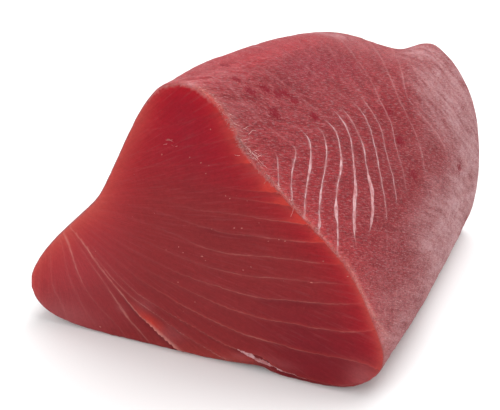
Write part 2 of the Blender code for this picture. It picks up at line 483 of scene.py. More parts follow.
class Block:
    """The block's surface in mm: a grid round the outside and the outline of each cut."""

    def __init__(self, fine, coarse):
        corners, edges, faces = solid()
        self.tree = BVHTree.FromPolygons([Vector(c) for c in corners], faces)
        length = FAR_FOOT_MM - NEAR_FOOT_MM
        rings = int(length / fine)
        shares = np.linspace(0.012, 0.988, rings)
        stations = np.arange(0, FLANK_MM, fine)
        outlines = [outline_at(corners, edges, share) for share in shares]
        rest = int((len(outlines[0]) * 0.5 - FLANK_MM) / coarse)
        grid, places = [], []
        for outline in outlines:
            points, place = at_stations(outline, stations, rest)
            grid.append(points)
            places.append(place)
        self.shares = shares
        self.down = np.array(places)
        self.back = np.repeat((shares * length)[:, None], self.down.shape[1], axis=1)
        grid = np.array(grid)
        x, z = grid[..., 0], grid[..., 1]
        self.grid = np.stack([x, slice_y(z, shares[:, None]), z], axis=-1)
        self.round = self.down.shape[1]
        self.rings = rings
        self.flank_count = len(stations)
        self.length = length

    def edge_loop(self, far, inset, share):
        """The outline of a cut, drawn in by inset mm and set back by a share of the length."""
        ring = self.grid[-1 if far else 0]
        ahead, behind = np.roll(ring, -1, axis=0), np.roll(ring, 1, axis=0)
        run = unit((ahead - behind)[:, [0, 2]])
        inward = np.stack([run[:, 1], -run[:, 0]], axis=1)
        middle = ring[:, [0, 2]].mean(axis=0)
        if ((middle - ring[:, [0, 2]]) * inward).sum() < 0:
            inward = -inward
        points = ring[:, [0, 2]] + inward * inset
        points[:, 1] = np.maximum(points[:, 1], ring[:, 2].min() + 0.12 * inset)
        x, z = points.T
        return np.stack([x, slice_y(z, 1 - share if far else share), z], axis=1)

    def cut_depth(self, x, z, far):
        """Where a cut's face lies at places (x, z)."""
        out = np.empty(len(x))
        towards = Vector((0, -1, 0)) if far else Vector((0, 1, 0))
        start = 200.0 if far else -200.0
        for i, (px, pz) in enumerate(zip(x, z)):
            hit = self.tree.ray_cast(Vector((px, start, pz)), towards)[0]
            out[i] = hit.y if hit else (far_y(pz) if far else near_y(pz))
        return out

    def read(self, values, back, down):
        """Values of the outside's grid, read between its points."""
        back, down = np.atleast_1d(back).astype(float), np.atleast_1d(down).astype(float)
        i = (back / self.length - self.shares[0]) / (self.shares[1] - self.shares[0])
        return at_cells(values, i, np.interp(down, self.down[0], np.arange(self.round)))


def at_cells(table, rows, columns):
    """A table read between its cells."""
    rows = np.clip(rows, 0, table.shape[0] - 1.001)
    columns = np.clip(columns, 0, table.shape[1] - 1.001)
    i, j = rows.astype(int), columns.astype(int)
    ti, tj = rows - i, columns - j
    if table.ndim == 3:
        ti, tj = ti[..., None], tj[..., None]
    left = table[i, j] * (1 - ti) + table[i + 1, j] * ti
    right = table[i, j + 1] * (1 - ti) + table[i + 1, j + 1] * ti
    return left * (1 - tj) + right * tj


def inside(points, loop):
    """Which (x, z) points lie inside a closed loop."""
    x, z = points[:, 0][:, None], points[:, 1][:, None]
    x0, z0 = loop[:, 0], loop[:, 1]
    x1, z1 = np.roll(x0, -1), np.roll(z0, -1)
    spans = (z0 > z) != (z1 > z)
    with np.errstate(divide="ignore", invalid="ignore"):
        crossing = x < (x1 - x0) * (z - z0) / (z1 - z0) + x0
    return (spans & crossing).sum(axis=1) % 2 == 1


def nearest_on(loop, points):
    """For each point, how far the loop is and the number of the nearest place on it."""
    tree = KDTree(len(loop))
    for i, (x, z) in enumerate(loop):
        tree.insert((x, z, 0.0), i)
    tree.balance()
    found = [tree.find((x, z, 0.0)) for x, z in points]
    return np.array([f[2] for f in found]), np.array([f[1] for f in found])


TRIANGLE_RISE = 0.866            # the height of an even triangle, as a share of its side
CUT_SEED = 81


def filled(loop, spacing):
    """Even triangles over a closed (x, z) loop: extra points and faces, which count the loop's
    own points first."""
    low, high = loop.min(axis=0), loop.max(axis=0)
    rows = np.arange(low[1], high[1], spacing * TRIANGLE_RISE)
    columns = np.arange(low[0], high[0], spacing)
    x, z = np.meshgrid(columns, rows)
    x = x + (np.arange(len(rows)) % 2)[:, None] * spacing / 2
    points = np.stack([x.ravel(), z.ravel()], axis=1)
    rng = np.random.default_rng(CUT_SEED)
    points += rng.uniform(-0.12, 0.12, points.shape) * spacing
    points = points[inside(points, loop)]
    gap, _ = nearest_on(loop, points)
    points = points[gap > spacing * 0.55]
    count = len(loop)
    both = [Vector(p) for p in np.vstack([loop, points])]
    edges = [(i, (i + 1) % count) for i in range(count)]
    _, _, faces, origins, *_ = delaunay_2d_cdt(both, edges, [], 1, 1e-5)
    if len(origins) != len(both) or not all(origins):
        raise RuntimeError("a cut's face lost some of its points")
    return points, np.array([[origins[v][0] for v in face] for face in faces])


# ---------------------------------------------------------------------------------------------
# The flesh

# The foot of the near cut is torn up off the table: how high, in mm, at each of these x.
TORN_X_MM = (-4, 0, 5, 10, 15, 17.5, 19, 20.5, 22, 25)
TORN_LIFT_MM = (0, 0.3, 0.9, 1.9, 2.7, 3.3, 2.8, 2, 1, 0)


def foot_lift(x, y, z):
    """How far the foot of the near cut is torn up off the table, in mm."""
    behind = smooth_step(20, 4, y - NEAR_FOOT_MM)
    return np.interp(x, TORN_X_MM, TORN_LIFT_MM) * behind * smooth_step(14, 1.0, z)


# How far a layer's lower lip stands proud of the next one, in plain steps, at the seams near the
# foot, where the layers flake apart.
LIPS = {3: 1.3, 4: 1.6, 5: 1.6, 6: 1.6, 7: 2.2, 8: 2.0, 9: 2.6, 10: 5.5, 11: 6.0, 12: 8.5,
        13: 3.5, 14: 2.0}


def cut_steps(layer, out):
    """How far a cut stands out, in plain steps, out mm from the fan's pivot."""
    seams = np.arange(len(SEAM_FAN)) + FAN_FIRST
    sizes = np.array([LIPS.get(int(seam), 1.0) for seam in seams])
    size = np.interp(np.floor(layer) + 1, seams, sizes)
    size = 1 + (size - 1) * smooth_step(34, 66, out)
    share = layer - np.floor(layer)
    return size * smooth_step(0.25, 0.98, share) * (1 - smooth_step(0.985, 1.0, share))


def shows_on_cut(table, plain, layer, out):
    """A value that the nearest seam has on a cut, out mm from the fan's pivot."""
    nearest = np.round(layer).astype(int)
    value = np.full(len(layer), float(plain))
    for seam, row in table.items():
        here = nearest == seam
        value[here] = np.interp(out[here], SHOW_REACH_MM, row)
    return value


# The light that comes through the edge of a cut, at places round it from the ridge, in mm: how
# strong the deep red glow is and how warm, then how strong the orange one at the very edge is
# and how deep it goes, in mm.
EDGE_MM = 368.9                  # once round the near cut
EDGE_AT_MM = (0, 10, 20, 30, 40, 50, 60, 70, 80, 90, 100, 110, 120, 130, 150, 170, 190, 210, 250,
              260, 270, 280, 290, 300, 310, 320, 330, 340, 350, 360, 369)
GLOW = (1.1, 1.1, 1.1, 1.1, 1.05, 1, 1, 0.95, 0.9, 0.9, 0.9, 0.7, 0.35, 0.1, 0, 0.1, 0.1, 0, 0.3,
        0.8, 1, 1.1, 1.1, 1.1, 1.1, 1.1, 1.1, 1.15, 1.2, 1.2, 1.1)
WARMTH = (0, 0, 0, 0, 0, 0, 0, 0, 0, 0, 0, 0, 0.2, 0.3, 0.4, 0.4, 0.4, 0.4, 0.4,
          0.35, 0.3, 0.3, 0.3, 0.28, 0.25, 0.2, 0.14, 0.1, 0.04, 0, 0)
EMBER = (0.1, 0.2, 0.5, 0.62, 0.62, 0.6, 0.5, 0.5, 0.6, 0.7, 0.75, 0.7, 0.5, 0.25, 0.1, 0.6,
         0.5, 0.1, 0.15, 0.4, 0.7, 0.8, 1, 0.9, 0.95, 0.75, 0.7, 0.75, 0.85, 0.4, 0.1)
EMBER_DEPTH_MM = (1.9, 1.9, 2.8, 3.4, 3.4, 2.8, 1.9, 1.5, 1.4, 1.4, 1.5, 1.7, 2, 2, 2, 3, 4, 3, 2,
                  2, 2.2, 2.8, 3.6, 3.2, 4.2, 3.4, 3.2, 3.2, 3.0, 2.2, 1.9)
GLOW_DEPTH_MM = 6.5
DEEPER_MM = 2.5                  # how much deeper it goes on the belly's side of the ridge
# How far the ragged outside creeps over the edge of the near cut, at places round it from the
# ridge, in mm.
CREEP_AT_MM = (-16, -9, -3, 5, 14, 22, 32, 50)
CREEP_MM = (0, 0.2, 0.5, 0.15, 0, 0, 0.35, 0)
# Painted shadow strips on the cut, under the proud lips of the layers: the seam they lie under,
# the x where they start and end, and how dark they are.
UNDERCUT_SHADOWS = ((4, -2, 14, 0.35), (7, 18, 38, 0.4), (10, 8, 32, 0.75), (12, -33, -13, 0.85))
# Paler patches on the cut: (x, z), how wide and how high in mm, and how strong.
PALE_PATCHES = ((-16, 8, 7, 5, 0.55), (54, 8, 7, 8, 0.75), (-60, 5, 20, 9, 0.75),
                (-35.5, 14, 3, 2.5, 0.5), (10, 3.5, 4, 2, 0.5), (24, 6, 10, 3, 0.4),
                (-26, 18, 6, 5, 0.4))


def from_ridge(place):
    """Places round the cut as distances from the ridge, down the flank or the other way."""
    return np.where(place > EDGE_MM / 2, place - EDGE_MM, place)


def cut_marks(s, tone, x, z, layer):
    """Paints the torn flap's glow, shadows under proud lips and paler patches on the near cut."""
    for seam, start, end, share in UNDERCUT_SHADOWS:
        along = band(start - 4, start + 2, end - 2, end + 4, x)
        under = smooth_step(0.42, 0.04, layer - seam) * (layer > seam)
        # Painted shadow under a proud lip, in the dark spots' red made darker.
        tone = mixed(tone, np.asarray(s.bruise) * 0.6, share * along * under)
    torn = layer < 12
    flap_glow = smooth_step(11.1, 11.8, layer) * torn * hump(-23, 10, x) * hump(12, 9, z)
    tone = mixed(tone, s.flap_glow, np.clip(0.7 * flap_glow, 0, 1))
    lip = smooth_step(11.72, 11.86, layer) * torn * hump(-18, 9, x) * smooth_step(17, 10, z)
    tone = mixed(tone, s.seam, np.clip(0.8 * lip, 0, 1))
    for x0, z0, wide, high, share in PALE_PATCHES:
        tone = mixed(tone, s.salmon, share * hump(x0, wide, x) * hump(z0, high, z))
    return tone


def cut_tone(s, x, z, gap, down, total):
    """The colour of a cut, with painted glow where light comes through its edge and painted shade
    at its foot, and how far each layer's lower lip glows.
    """
    tone = mixed(s.core, s.crown, smooth_step(60, 86, z))
    tone = mixed(tone, s.heel, smooth_step(4, 38, x) * smooth_step(46, 18, z) * 0.95)
    tone = mixed(tone, s.tip, smooth_step(-20, -60, x) * (0.5 + 0.5 * smooth_step(12, 36, z)))
    place = down / total * EDGE_MM
    glow, warmth, ember, depth = (np.interp(place, EDGE_AT_MM, row)
                                  for row in (GLOW, WARMTH, EMBER, EMBER_DEPTH_MM))
    glow_depth = GLOW_DEPTH_MM + DEEPER_MM * band(255, 285, 352, 364, place)
    tone = mixed(tone, mixed(s.glow, s.ember, warmth),
                 np.clip(glow * np.exp(-gap / glow_depth), 0, 1))
    ember = ember * np.exp(-((gap / depth) ** 1.2))
    tone = mixed(tone, s.ember, np.clip(ember, 0, 1))
    # Painted shade: the cut is a little darker within 7 mm of the table.
    foot_shade = 1 - 0.06 * smooth_step(7, 0.5, z)
    lip = (0.95 * hump(48, 36, from_ridge(place)) * np.exp(-gap / 4.2)
           + 0.2 * smooth_step(52, 20, z) * smooth_step(-60, -10, x))
    return tone * foot_shade[..., None], np.clip(lip, 0, 1)


# Patches of the flank: how far back, how far down, how long and how high they are in mm, and how
# much they add to the frost and painted sheen, or the clear red, or the salmon pink.
FROST_AND_SHEEN_PATCHES = (
    (60, 103, 12, 7, -0.18), (75, 104, 10, 8, -0.16), (105, 95, 10, 8, -0.25),
    (25, 98, 28, 16, -0.10), (40, 120, 70, 10, -0.13), (60, 64, 26, 12, 0.05),
    (85, 45, 8, 7, -0.12), (90, 12, 20, 12, -0.02),
    (105, 117, 13, 10, -0.52), (75, 65, 12, 8, 0.08), (75, 118, 10, 6, -0.10),
    (95, 108, 9, 9, -0.18), (95, 84, 10, 8, -0.12),
    (18, 4, 20, 6, 0.12), (112, 3, 12, 9, 0.35), (112, 36, 13, 9, 0.42), (15, 20, 9, 9, 0.04),
    (22, 68, 14, 9, 0.05),
)
CLEAR_PATCHES = ((55, 15, 20, 11, 1.1), (75, 20, 14, 13, 0.95), (24, 86, 18, 6, 0.30),
                 (52, 26, 30, 12, 0.12))
SALMON_PATCHES = ((110, 17, 17, 18, 0.75), (116, 36, 8, 9, 0.3))
CREST_PATCHES = ((40, 2, 110, 9, 0.95), (14, 45, 24, 60, 0.32))


def patches(table, back, down):
    total = np.zeros(np.shape(back))
    for middle, height, long, high, amount in table:
        total = total + amount * hump(middle, long, back) * hump(height, high, down)
    return total


def spill(down):
    """How far the raw red of the near cut spills over onto the flank."""
    return np.interp(down, (1, 6, 14, 22, 29, 36), (-1, 1.4, 2.4, 2.2, 1.0, -1))


def flank_tone(s, back, down, places, strand):
    """The colour of the flank, with painted glow next to the cut, and its frost and painted
    sheen.
    """
    drift = lumps(places, 16, 31) * 0.5 + lumps(places, 7, 32) * 0.5
    wander = back + drift * 5
    high = 0.65 * smooth_step(72, 104, wander) * band(34, 50, 82, 98, down)
    low = smooth_step(-14, 22, down - (96 - 0.22 * wander) + drift * 4)
    low = low * (0.36 + 0.38 * smooth_step(35, 60, wander))
    middle = -0.05 * band(36, 48, 74, 84, down)
    frost_and_sheen = middle + 0.02 + np.maximum(high, low) + patches(FROST_AND_SHEEN_PATCHES, back, down)
    speckle = 0.6 * lumps(places, 2.0, 33) + 0.6 * lumps(places, 1.1, 34)
    frost_and_sheen = frost_and_sheen * (1 + 0.14 * drift + 0.40 * strand + 0.30 * speckle) + 0.03 * strand
    frost_and_sheen += 0.07 * speckle * hump(96, 14, down) * smooth_step(50, 30, back)
    tone = np.broadcast_to(np.asarray(s.skin, float), (len(back), 3))
    for colour, table in ((s.crest, CREST_PATCHES), (s.blush, CLEAR_PATCHES),
                          (s.salmon, SALMON_PATCHES)):
        share = patches(table, back, down) * (1 + 0.25 * drift)
        tone = mixed(tone, colour, np.clip(share, 0, 1))
    # Painted glow: brighter red next to the near cut, where light comes through the thin edge.
    tone = mixed(tone, s.edge, (0.45 + 0.35 * smooth_step(22, 36, down))
                 * np.exp(-back / 5.0) * smooth_step(124, 100, down))
    frost_and_sheen = frost_and_sheen + 0.20 * smooth_step(30, 18, down) * np.exp(-back / 6.0) * (1 + strand)
    # Painted glow: the cut's red that spills over onto the flank, in the edge glow's red and
    # orange.
    red = smooth_step(0.4, -0.4, back - spill(down) - 0.5 * lumps(places, 1.5, 66))
    tone = mixed(tone, mixed(s.glow, s.ember, 0.35), 0.85 * red)
    frost_and_sheen = frost_and_sheen * (1 - red)
    tone = tone * (1 + 0.12 * strand + 0.03 * drift + 0.07 * speckle)[..., None]
    return tone, np.clip(frost_and_sheen, 0, 0.92)


# Which way the muscle fibres run over the flank: degrees round from straight back towards down,
# at these places back and down.
FIBRE_BACK_MM = (0, 40, 70, 90, 120)
FIBRE_DOWN_MM = (0, 20, 38, 60, 85, 100, 128)
FIBRE_TURNS = (
    (30, 30, 140, 150, 150), (25, 35, 140, 148, 150), (40, 45, 100, 110, 105),
    (40, 40, 50, 65, 70), (40, 38, 40, 45, 50), (33, 33, 37, 38, 40), (32, 32, 35, 35, 36),
)


def read_table(table, back, down):
    """A table of FIBRE_BACK_MM by FIBRE_DOWN_MM, read smoothly between its places."""
    columns = np.interp(back, FIBRE_BACK_MM, np.arange(len(FIBRE_BACK_MM)))
    rows = np.interp(down, FIBRE_DOWN_MM, np.arange(len(FIBRE_DOWN_MM)))
    return at_cells(np.asarray(table, float), rows, columns)


def fibre_turn(back, down):
    """Which way the fibres run at places on the flank, in radians."""
    doubled = np.radians(np.array(FIBRE_TURNS, float)) * 2
    return np.arctan2(read_table(np.sin(doubled), back, down),
                      read_table(np.cos(doubled), back, down)) / 2


def strands_on_flank(block):
    """Fine strands over the flank, from about -1 to 1: dots drawn out along the fibres."""
    columns = block.flank_count
    back, down = block.back[:, :columns], block.down[:, :columns]
    rng = np.random.default_rng(57)
    dots = rng.normal(0, 1, back.shape)
    places = np.stack([back.ravel(), down.ravel()], axis=1)
    dots += 1.1 * lumps(places, 1.7, 58).reshape(back.shape)
    row, column = np.indices(back.shape).astype(float)
    total = dots.copy()
    for sense in (-1, 1):
        i, j = row.copy(), column.copy()
        for _ in range(6):
            turn = fibre_turn(at_cells(back, i, j), at_cells(down, i, j))
            i, j = i + sense * np.cos(turn), j + sense * np.sin(turn)
            total += at_cells(dots, i, j)
    total -= total.mean()
    return np.clip(total / (2 * total.std()), -1.3, 1.3)


def side_tone(s, places):
    """The colour, and the frost and painted sheen, of the sides that face away."""
    drift = lumps(places, 22, 41) * 0.6 + lumps(places, 9, 42) * 0.4
    tone = mixed(s.skin, s.blush, smooth_step(-0.2, 0.7, lumps(places, 26, 43)) * 0.7)
    return tone, np.clip(0.20 + 0.30 * drift, 0.02, 0.8)


def normals_of(grid):
    """The outward normals of the outside's grid."""
    round_ = np.roll(grid, -1, axis=1) - np.roll(grid, 1, axis=1)
    along = np.gradient(grid, axis=0)
    normal = unit(np.cross(round_, along))
    outwards = ((grid - grid.mean(axis=(0, 1))) * normal).sum() > 0
    return normal if outwards else -normal


# How strongly each flank seam shows below the fold, from seam -3 on.
LOWER_SHOWS = (0.1, 0.2, 0.3, 0.5, 0.55, 0.6, 0.6, 0.7, 0.7, 0.7, 0.5, 0.45, 0.4, 0.35, 0.3, 0.25,
               0.2, 0.15, 0.1, 0.1, 0.1, 0.1, 0.1, 0.1)
# Dark red bumpy spots on the flank: how far back, how far down and how big, in mm.
SPOTS = (
    (19.7, 14.6, 3.2), (22, 24.6, 3), (31, 19.5, 3), (34.2, 20.3, 2.6), (35.1, 24.4, 2.6),
    (36.6, 32.5, 2.6), (27.7, 15.8, 3), (26.8, 0.6, 2.4), (19.6, 9, 2.4), (62.4, 57.6, 3.2),
    (58.5, 70.6, 3.2), (67.6, 46.3, 3), (93, 84, 3),
)
# A painted highlight along a crease just behind the cut: how far back it is at each of these
# places down.
CREASE_DOWN_MM = (73, 75, 79, 88, 94, 102, 106, 109, 112)
CREASE_BACK_MM = (3.6, 3.1, 2.1, 1.5, 1.5, 2.9, 4.4, 5.6, 6.6)
# On the sides that face away, for each millimetre back: how many layers are crossed, how far the
# fan moves towards +X in mm, and how much flatter it gets.
SIDE_LAYER_RATE = 0.055
SIDE_SLIDE = 0.147
SIDE_SQUEEZE = 0.0017
# So on the far cut the fan lies this far over to +X and is this many times flatter.
FAR_SLIDE_MM = 18
FAR_SQUEEZE = 1.2
# The grain that the streaks of the flesh follow. On the flank it runs these shares of straight
# back and of down. On the cuts it turns with the fan, this many mm to a radian. The last numbers
# set the streaks of the other sides and of the cuts apart from the flank's.
GRAIN_BACK, GRAIN_DOWN = 0.82, 0.57
CUT_GRAIN_MM = 80
SIDE_GRAIN_APART = 30.0
CUT_GRAIN_APART = 70.0


def outside_layers(places, flank, back, down):
    """The muscle layer at places on the outside, and how many there are to a millimetre."""
    layer, rate = np.zeros(len(back)), np.ones(len(back))
    layer[flank], rate[flank] = rate_of(layer_on_flank, back[flank], down[flank])
    side = ~flank
    side_layer, side_rate = rate_of(layer_on_cut, places[:, 0] - SIDE_SLIDE * back,
                                    places[:, 2] * (1 + SIDE_SQUEEZE * back))
    layer[side] = side_layer[side] + SIDE_LAYER_RATE * back[side]
    rate[side] = np.hypot(side_rate[side], SIDE_LAYER_RATE)
    return layer, rate


def outside_tone(settings, places, flank, back, down, left, strand):
    """The colour, and the frost and painted sheen, of the outside. The flank's own fade out a
    little way past its ridge and its heel."""
    tone, frost_and_sheen = side_tone(settings, places)
    near_ridge = smooth_step(36, 0, left)
    near_heel = smooth_step(14, 0, down - FLANK_MM)
    share = np.where(flank, 1.0, np.maximum(near_ridge, near_heel))
    beside = np.where(flank, down, np.where(down > FLANK_MM + 60, 0.0, FLANK_MM))
    own_tone, own_frost_and_sheen = flank_tone(settings, back, beside, places, strand)
    return mixed(tone, own_tone, share), frost_and_sheen * (1 - share) + own_frost_and_sheen * share


def outside_spots(flank, back, down):
    """Where the dark spots of the flank are, from 0 to 1."""
    spots = np.zeros(len(back))
    for spot_back, spot_down, size in SPOTS:
        spots = np.maximum(spots, hump(0, size, np.hypot(back - spot_back, down - spot_down)))
    return spots * flank


def outside_fray_and_highlight(flank, back, down, in_from_cut, spilt):
    """How pale the outside is, from 0 to 1, from frayed fibres and painted highlight lines along
    the rim: only close behind the cuts.
    """
    crease = (np.exp(-(((back - np.interp(down, CREASE_DOWN_MM, CREASE_BACK_MM)) / 0.8) ** 2))
              * band(73, 80, 106, 112, down))
    rim_highlight = band(34, 42, 84, 96, down) * np.exp(-((back - 0.8) / 1.0) ** 2)
    ragged = smooth_step(40, 30, down) * np.exp(-np.abs(in_from_cut - spilt) / 1.4) * 0.8
    foot_band = 0.45 * band(96, 102, 122, 127, down) * np.exp(-back / 3.5)
    on_flank = np.clip(np.maximum.reduce([crease, rim_highlight, ragged, foot_band]), 0, 1)
    return np.where(flank, on_flank, 0.3 * np.exp(-in_from_cut / 1.0))


def shape_outside(block, settings):
    """Gives the outside its relief and works out what its material needs."""
    places, b, d = block.grid.reshape(-1, 3), block.back.ravel(), block.down.ravel()
    left = (block.down.max(axis=1, keepdims=True) + 1.0 - block.down).ravel()
    flank = np.tile(np.arange(block.round) < block.flank_count, block.rings)
    strand = 0.6 * lumps(places, 1.8, 59)
    strand[flank] = strands_on_flank(block).ravel()
    layer, rate = outside_layers(places, flank, b, d)
    tone, frost_and_sheen = outside_tone(settings, places, flank, b, d, left, strand)
    spots = outside_spots(flank, b, d)

    # How strong and how wide the seams are: most of all below the fold of the flank.
    seams = np.arange(len(FLANK_SEAMS)) + FLANK_FIRST
    nearest = np.round(layer)
    lower, upper = band(35, 40, 71, 77, d), band(0, 6, 35, 40, d)
    shows = (np.interp(nearest, seams, LOWER_SHOWS) * lower
             + 0.75 * np.interp(nearest, seams, FLANK_SHOWS) * upper
             + 0.06 * band(74, 84, 100, 120, d))
    edge = smooth_step(0, 5, d - FLANK_MM) * smooth_step(0, 6, left)
    shows = np.where(flank, shows, 0.30 * edge)
    half = np.where(flank, 0.45 * lower + 0.5 * upper + 0.5 * (1 - lower - upper), 0.45)

    # The relief: swells, lumps, a pillow to each layer and bumpy spots, held at the edges.
    in_from_cut = np.minimum(b, block.length - b)
    swell = 0.45 * lumps(places, 24, 51) + 0.20 * lumps(places, 11, 52)
    fine = 0.09 * lumps(places, 4.5, 53) + 0.07 * lumps(places, 2.2, 54) + 0.07 * strand
    pillow = np.sin(np.pi * (layer - np.floor(layer))) ** 0.6
    lower_limb = np.where(flank, lower * smooth_step(9.5, 7.5, layer), 0.0)
    relief = swell + fine + pillow * (0.22 * lower_limb + 0.06)
    relief += 0.24 * spots * lumps(places, 1.3, 55)
    grip = smooth_step(0, 5, places[:, 2]) * smooth_step(0, 5, in_from_cut)
    keep_foot = smooth_step(0.0, 2.5, places[:, 2])
    relief = relief * (0.25 + 0.75 * grip) * keep_foot + 0.05 * keep_foot
    block.normal = normals_of(block.grid)
    skin = places + block.normal.reshape(-1, 3) * relief[:, None]
    skin[:, 2] += foot_lift(*skin.T)
    skin[:, 2] = np.maximum(skin[:, 2], 0.0)
    block.skin = skin.reshape(block.grid.shape)

    grain = np.stack([GRAIN_BACK * b + GRAIN_DOWN * d, -GRAIN_DOWN * b + GRAIN_BACK * d,
                      np.zeros(len(b))], axis=1)
    grain[~flank] = np.stack([b, d, np.full(len(b), SIDE_GRAIN_APART)], axis=1)[~flank]
    spilt = np.where(flank, np.maximum(spill(d), 0), 0) * (b < 20)
    return {
        "layer": layer, "layer_rate": rate, "seam_show": shows, "seam_half": half,
        "rim": spilt - in_from_cut, "frost_and_sheen": frost_and_sheen, "lip": np.zeros(len(b)), "spots": spots,
        "fray_and_highlight": outside_fray_and_highlight(flank, b, d, in_from_cut, spilt), "grain": grain,
        "flesh_tone": tone,
    }


def shape_cut(block, settings, far, points, loop):
    """Gives a cut its relief and works out what its material needs."""
    x, z = points.T
    gap, index = nearest_on(loop, points)
    round_ = block.down[-1 if far else 0]
    down, total = round_[index], round_[-1]
    fan_x, fan_z = (x - FAR_SLIDE_MM, z * FAR_SQUEEZE) if far else (x, z)
    layer, rate = rate_of(layer_on_cut, fan_x, fan_z)
    dx, dz = fan_x - FAN_PIVOT_MM[0], fan_z - FAN_PIVOT_MM[1]
    out = np.hypot(dx, dz)
    shows = shows_on_cut(CUT_SHOWS, 0.1 if far else 0.02, layer, out)
    half = 0.3 * shows_on_cut(CUT_WIDTHS, 1.0, layer, out)
    shows = shows * np.interp(gap, (0, 2, 8), (0.25, 0.6, 1.0))
    fan_layer = layer
    if far:
        layer = layer + SIDE_LAYER_RATE * block.length
    tone, lip = cut_tone(settings, fan_x, fan_z, gap, down, total)
    if not far:
        tone = cut_marks(settings, tone, x, z, layer)
    y = block.cut_depth(x, z, far)
    out_of_cut = 1.0 if far else -1.0
    places = np.stack([x, y, z], axis=1)
    hold = smooth_step(0.3, 3.0, gap)
    swell = 0.35 * lumps(places, 20, 61) + 0.12 * lumps(places, 7, 62) - 0.2
    fine = 0.05 * lumps(places, 2.4, 63)
    steps = cut_steps(fan_layer, out) * settings.step / MM
    steps *= smooth_step(0, 12, out) * (0.5 if far else 1.0)
    y = y + out_of_cut * (swell * hold + fine + steps * smooth_step(0.0, 2.0, gap))
    crept = 0 * x if far else np.interp(
        from_ridge(down / total * EDGE_MM), CREEP_AT_MM, CREEP_MM, left=0, right=0)
    crept = crept * (1 + 1.0 * lumps(places, 1.5, 64) + 0.6 * lumps(places, 4.0, 65))
    over = smooth_step(0.3, -0.3, gap - crept) * (crept > 0.05)
    y = y - out_of_cut * 0.45 * crept * smooth_step(1.3 * crept + 0.3, 0, gap)
    # Painted glow: where the outside creeps over the cut's edge, it takes the brighter red of the
    # lit-through edge.
    tone = mixed(tone, settings.edge, 0.8 * over)
    if not far:
        z = z + foot_lift(x, np.full(len(x), NEAR_FOOT_MM), z)
    grain = np.stack([out, np.arctan2(dz, dx) * CUT_GRAIN_MM,
                      np.full(len(x), CUT_GRAIN_APART)], axis=1)
    return np.stack([x, y, z], axis=1), {
        "layer": layer, "layer_rate": rate, "seam_show": shows * (1 - over), "seam_half": half,
        "rim": gap - crept, "frost_and_sheen": 0.16 * over, "lip": lip * (1 - over), "spots": 0 * x,
        "fray_and_highlight": 0.5 * over, "grain": grain, "flesh_tone": tone,
    }


# The two rings of corners round the rim of each cut: how far in they lie in mm, how far back as a
# share of the length, how much of the outside's relief they follow, how ragged they are in mm,
# and up to which rim value they still belong to the outside.
RIM_RINGS = ((0.12, 0.0055, 0.8, 0.6, 0.2), (0.55, 0.0015, 0.6, 0.3, -math.inf))


def joined_values(parts):
    return {name: np.concatenate([part[name] for part in parts]) for name in parts[0]}


def flesh_arrays(block, settings):
    """Every corner, face and painted value of the flesh."""
    outside = shape_outside(block, settings)
    count = block.round
    rings, values = [block.skin.reshape(-1, 3)], [outside]
    n = np.arange(count)
    m = (n + 1) % count

    def between(a, b):
        """The faces between two rings of corners, which start at a and b."""
        return np.stack([a + n, a + m, b + m, b + n], axis=1)

    faces = [between(i * count, (i + 1) * count) for i in range(block.rings - 1)]
    total = block.rings * count
    tri = []
    for far in (False, True):
        end = -1 if far else 0
        previous = (block.rings - 1) * count if far else 0
        rim_values = {name: value[previous:previous + count]
                      for name, value in outside.items()}
        lift = block.skin[end] - block.grid[end]
        for inset, share, follow, rough, last in RIM_RINGS:
            ring = block.edge_loop(far, inset, share) + lift * follow
            ring[:, 2] = np.maximum(ring[:, 2], 0.0)
            ragged = lumps(ring, 1.7, 71) * 0.5 + lumps(ring, 4.0, 72) * 0.3
            ring[:, 1] += ragged * rough
            rings.append(ring)
            rim = np.where(rim_values["rim"] > last, 0.1, -0.45)
            values.append({**rim_values, "rim": rim})
            faces.append(between(previous, total))
            previous = total
            total += count
        flat = ring[:, [0, 2]]
        points, cut_faces = filled(flat, settings.far_mm if far else settings.near_mm)
        _, edge_values = shape_cut(block, settings, far, flat, flat)
        edge_values["rim"] = np.minimum(edge_values["rim"], 0.1)
        values[-1] = edge_values
        at, cut_values = shape_cut(block, settings, far, points, flat)
        tri.append(np.where(cut_faces < count, cut_faces + previous, cut_faces - count + total))
        rings.append(at)
        values.append(cut_values)
        total += len(at)
    return np.vstack(rings), np.vstack(faces), np.vstack(tri), joined_values(values)


def set_attribute(mesh, name, kind, data):
    """Paints a value onto a mesh, a number or a row of numbers to each point."""
    attribute = mesh.attributes.new(name, kind, "POINT")
    field = {"FLOAT": "value", "FLOAT_VECTOR": "vector", "FLOAT_COLOR": "color"}[kind]
    if kind == "FLOAT_COLOR":
        data = np.hstack([np.clip(data, 0, 1), np.ones((len(data), 1))])
    attribute.data.foreach_set(field, np.ascontiguousarray(data, np.float32).ravel())


def outward(mesh):
    """Makes every face of a closed mesh point outwards."""
    bm = bmesh.new()
    bm.from_mesh(mesh)
    bmesh.ops.recalc_face_normals(bm, faces=bm.faces)
    bm.to_mesh(mesh)
    bm.free()


def build_flesh(settings):
    block = Block(settings.fine_mm, settings.coarse_mm)
    corners, quads, triangles, values = flesh_arrays(block, settings)
    mesh = bpy.data.meshes.new("flesh")
    faces = quads.tolist() + triangles.tolist()
    mesh.from_pydata(corners * MM, [], faces)
    for name, data in values.items():
        kind = {"grain": "FLOAT_VECTOR", "flesh_tone": "FLOAT_COLOR"}.get(name, "FLOAT")
        set_attribute(mesh, name, kind, data)
    outward(mesh)
    mesh.shade_smooth()
    if mesh.validate():
        raise RuntimeError("the flesh has broken faces")
    block.flesh_tree = BVHTree.FromPolygons([Vector(v) for v in corners], faces)
    mesh.materials.append(flesh_material(settings))
    return linked("flesh", mesh), block


# ---------------------------------------------------------------------------------------------
# Drawing node trees


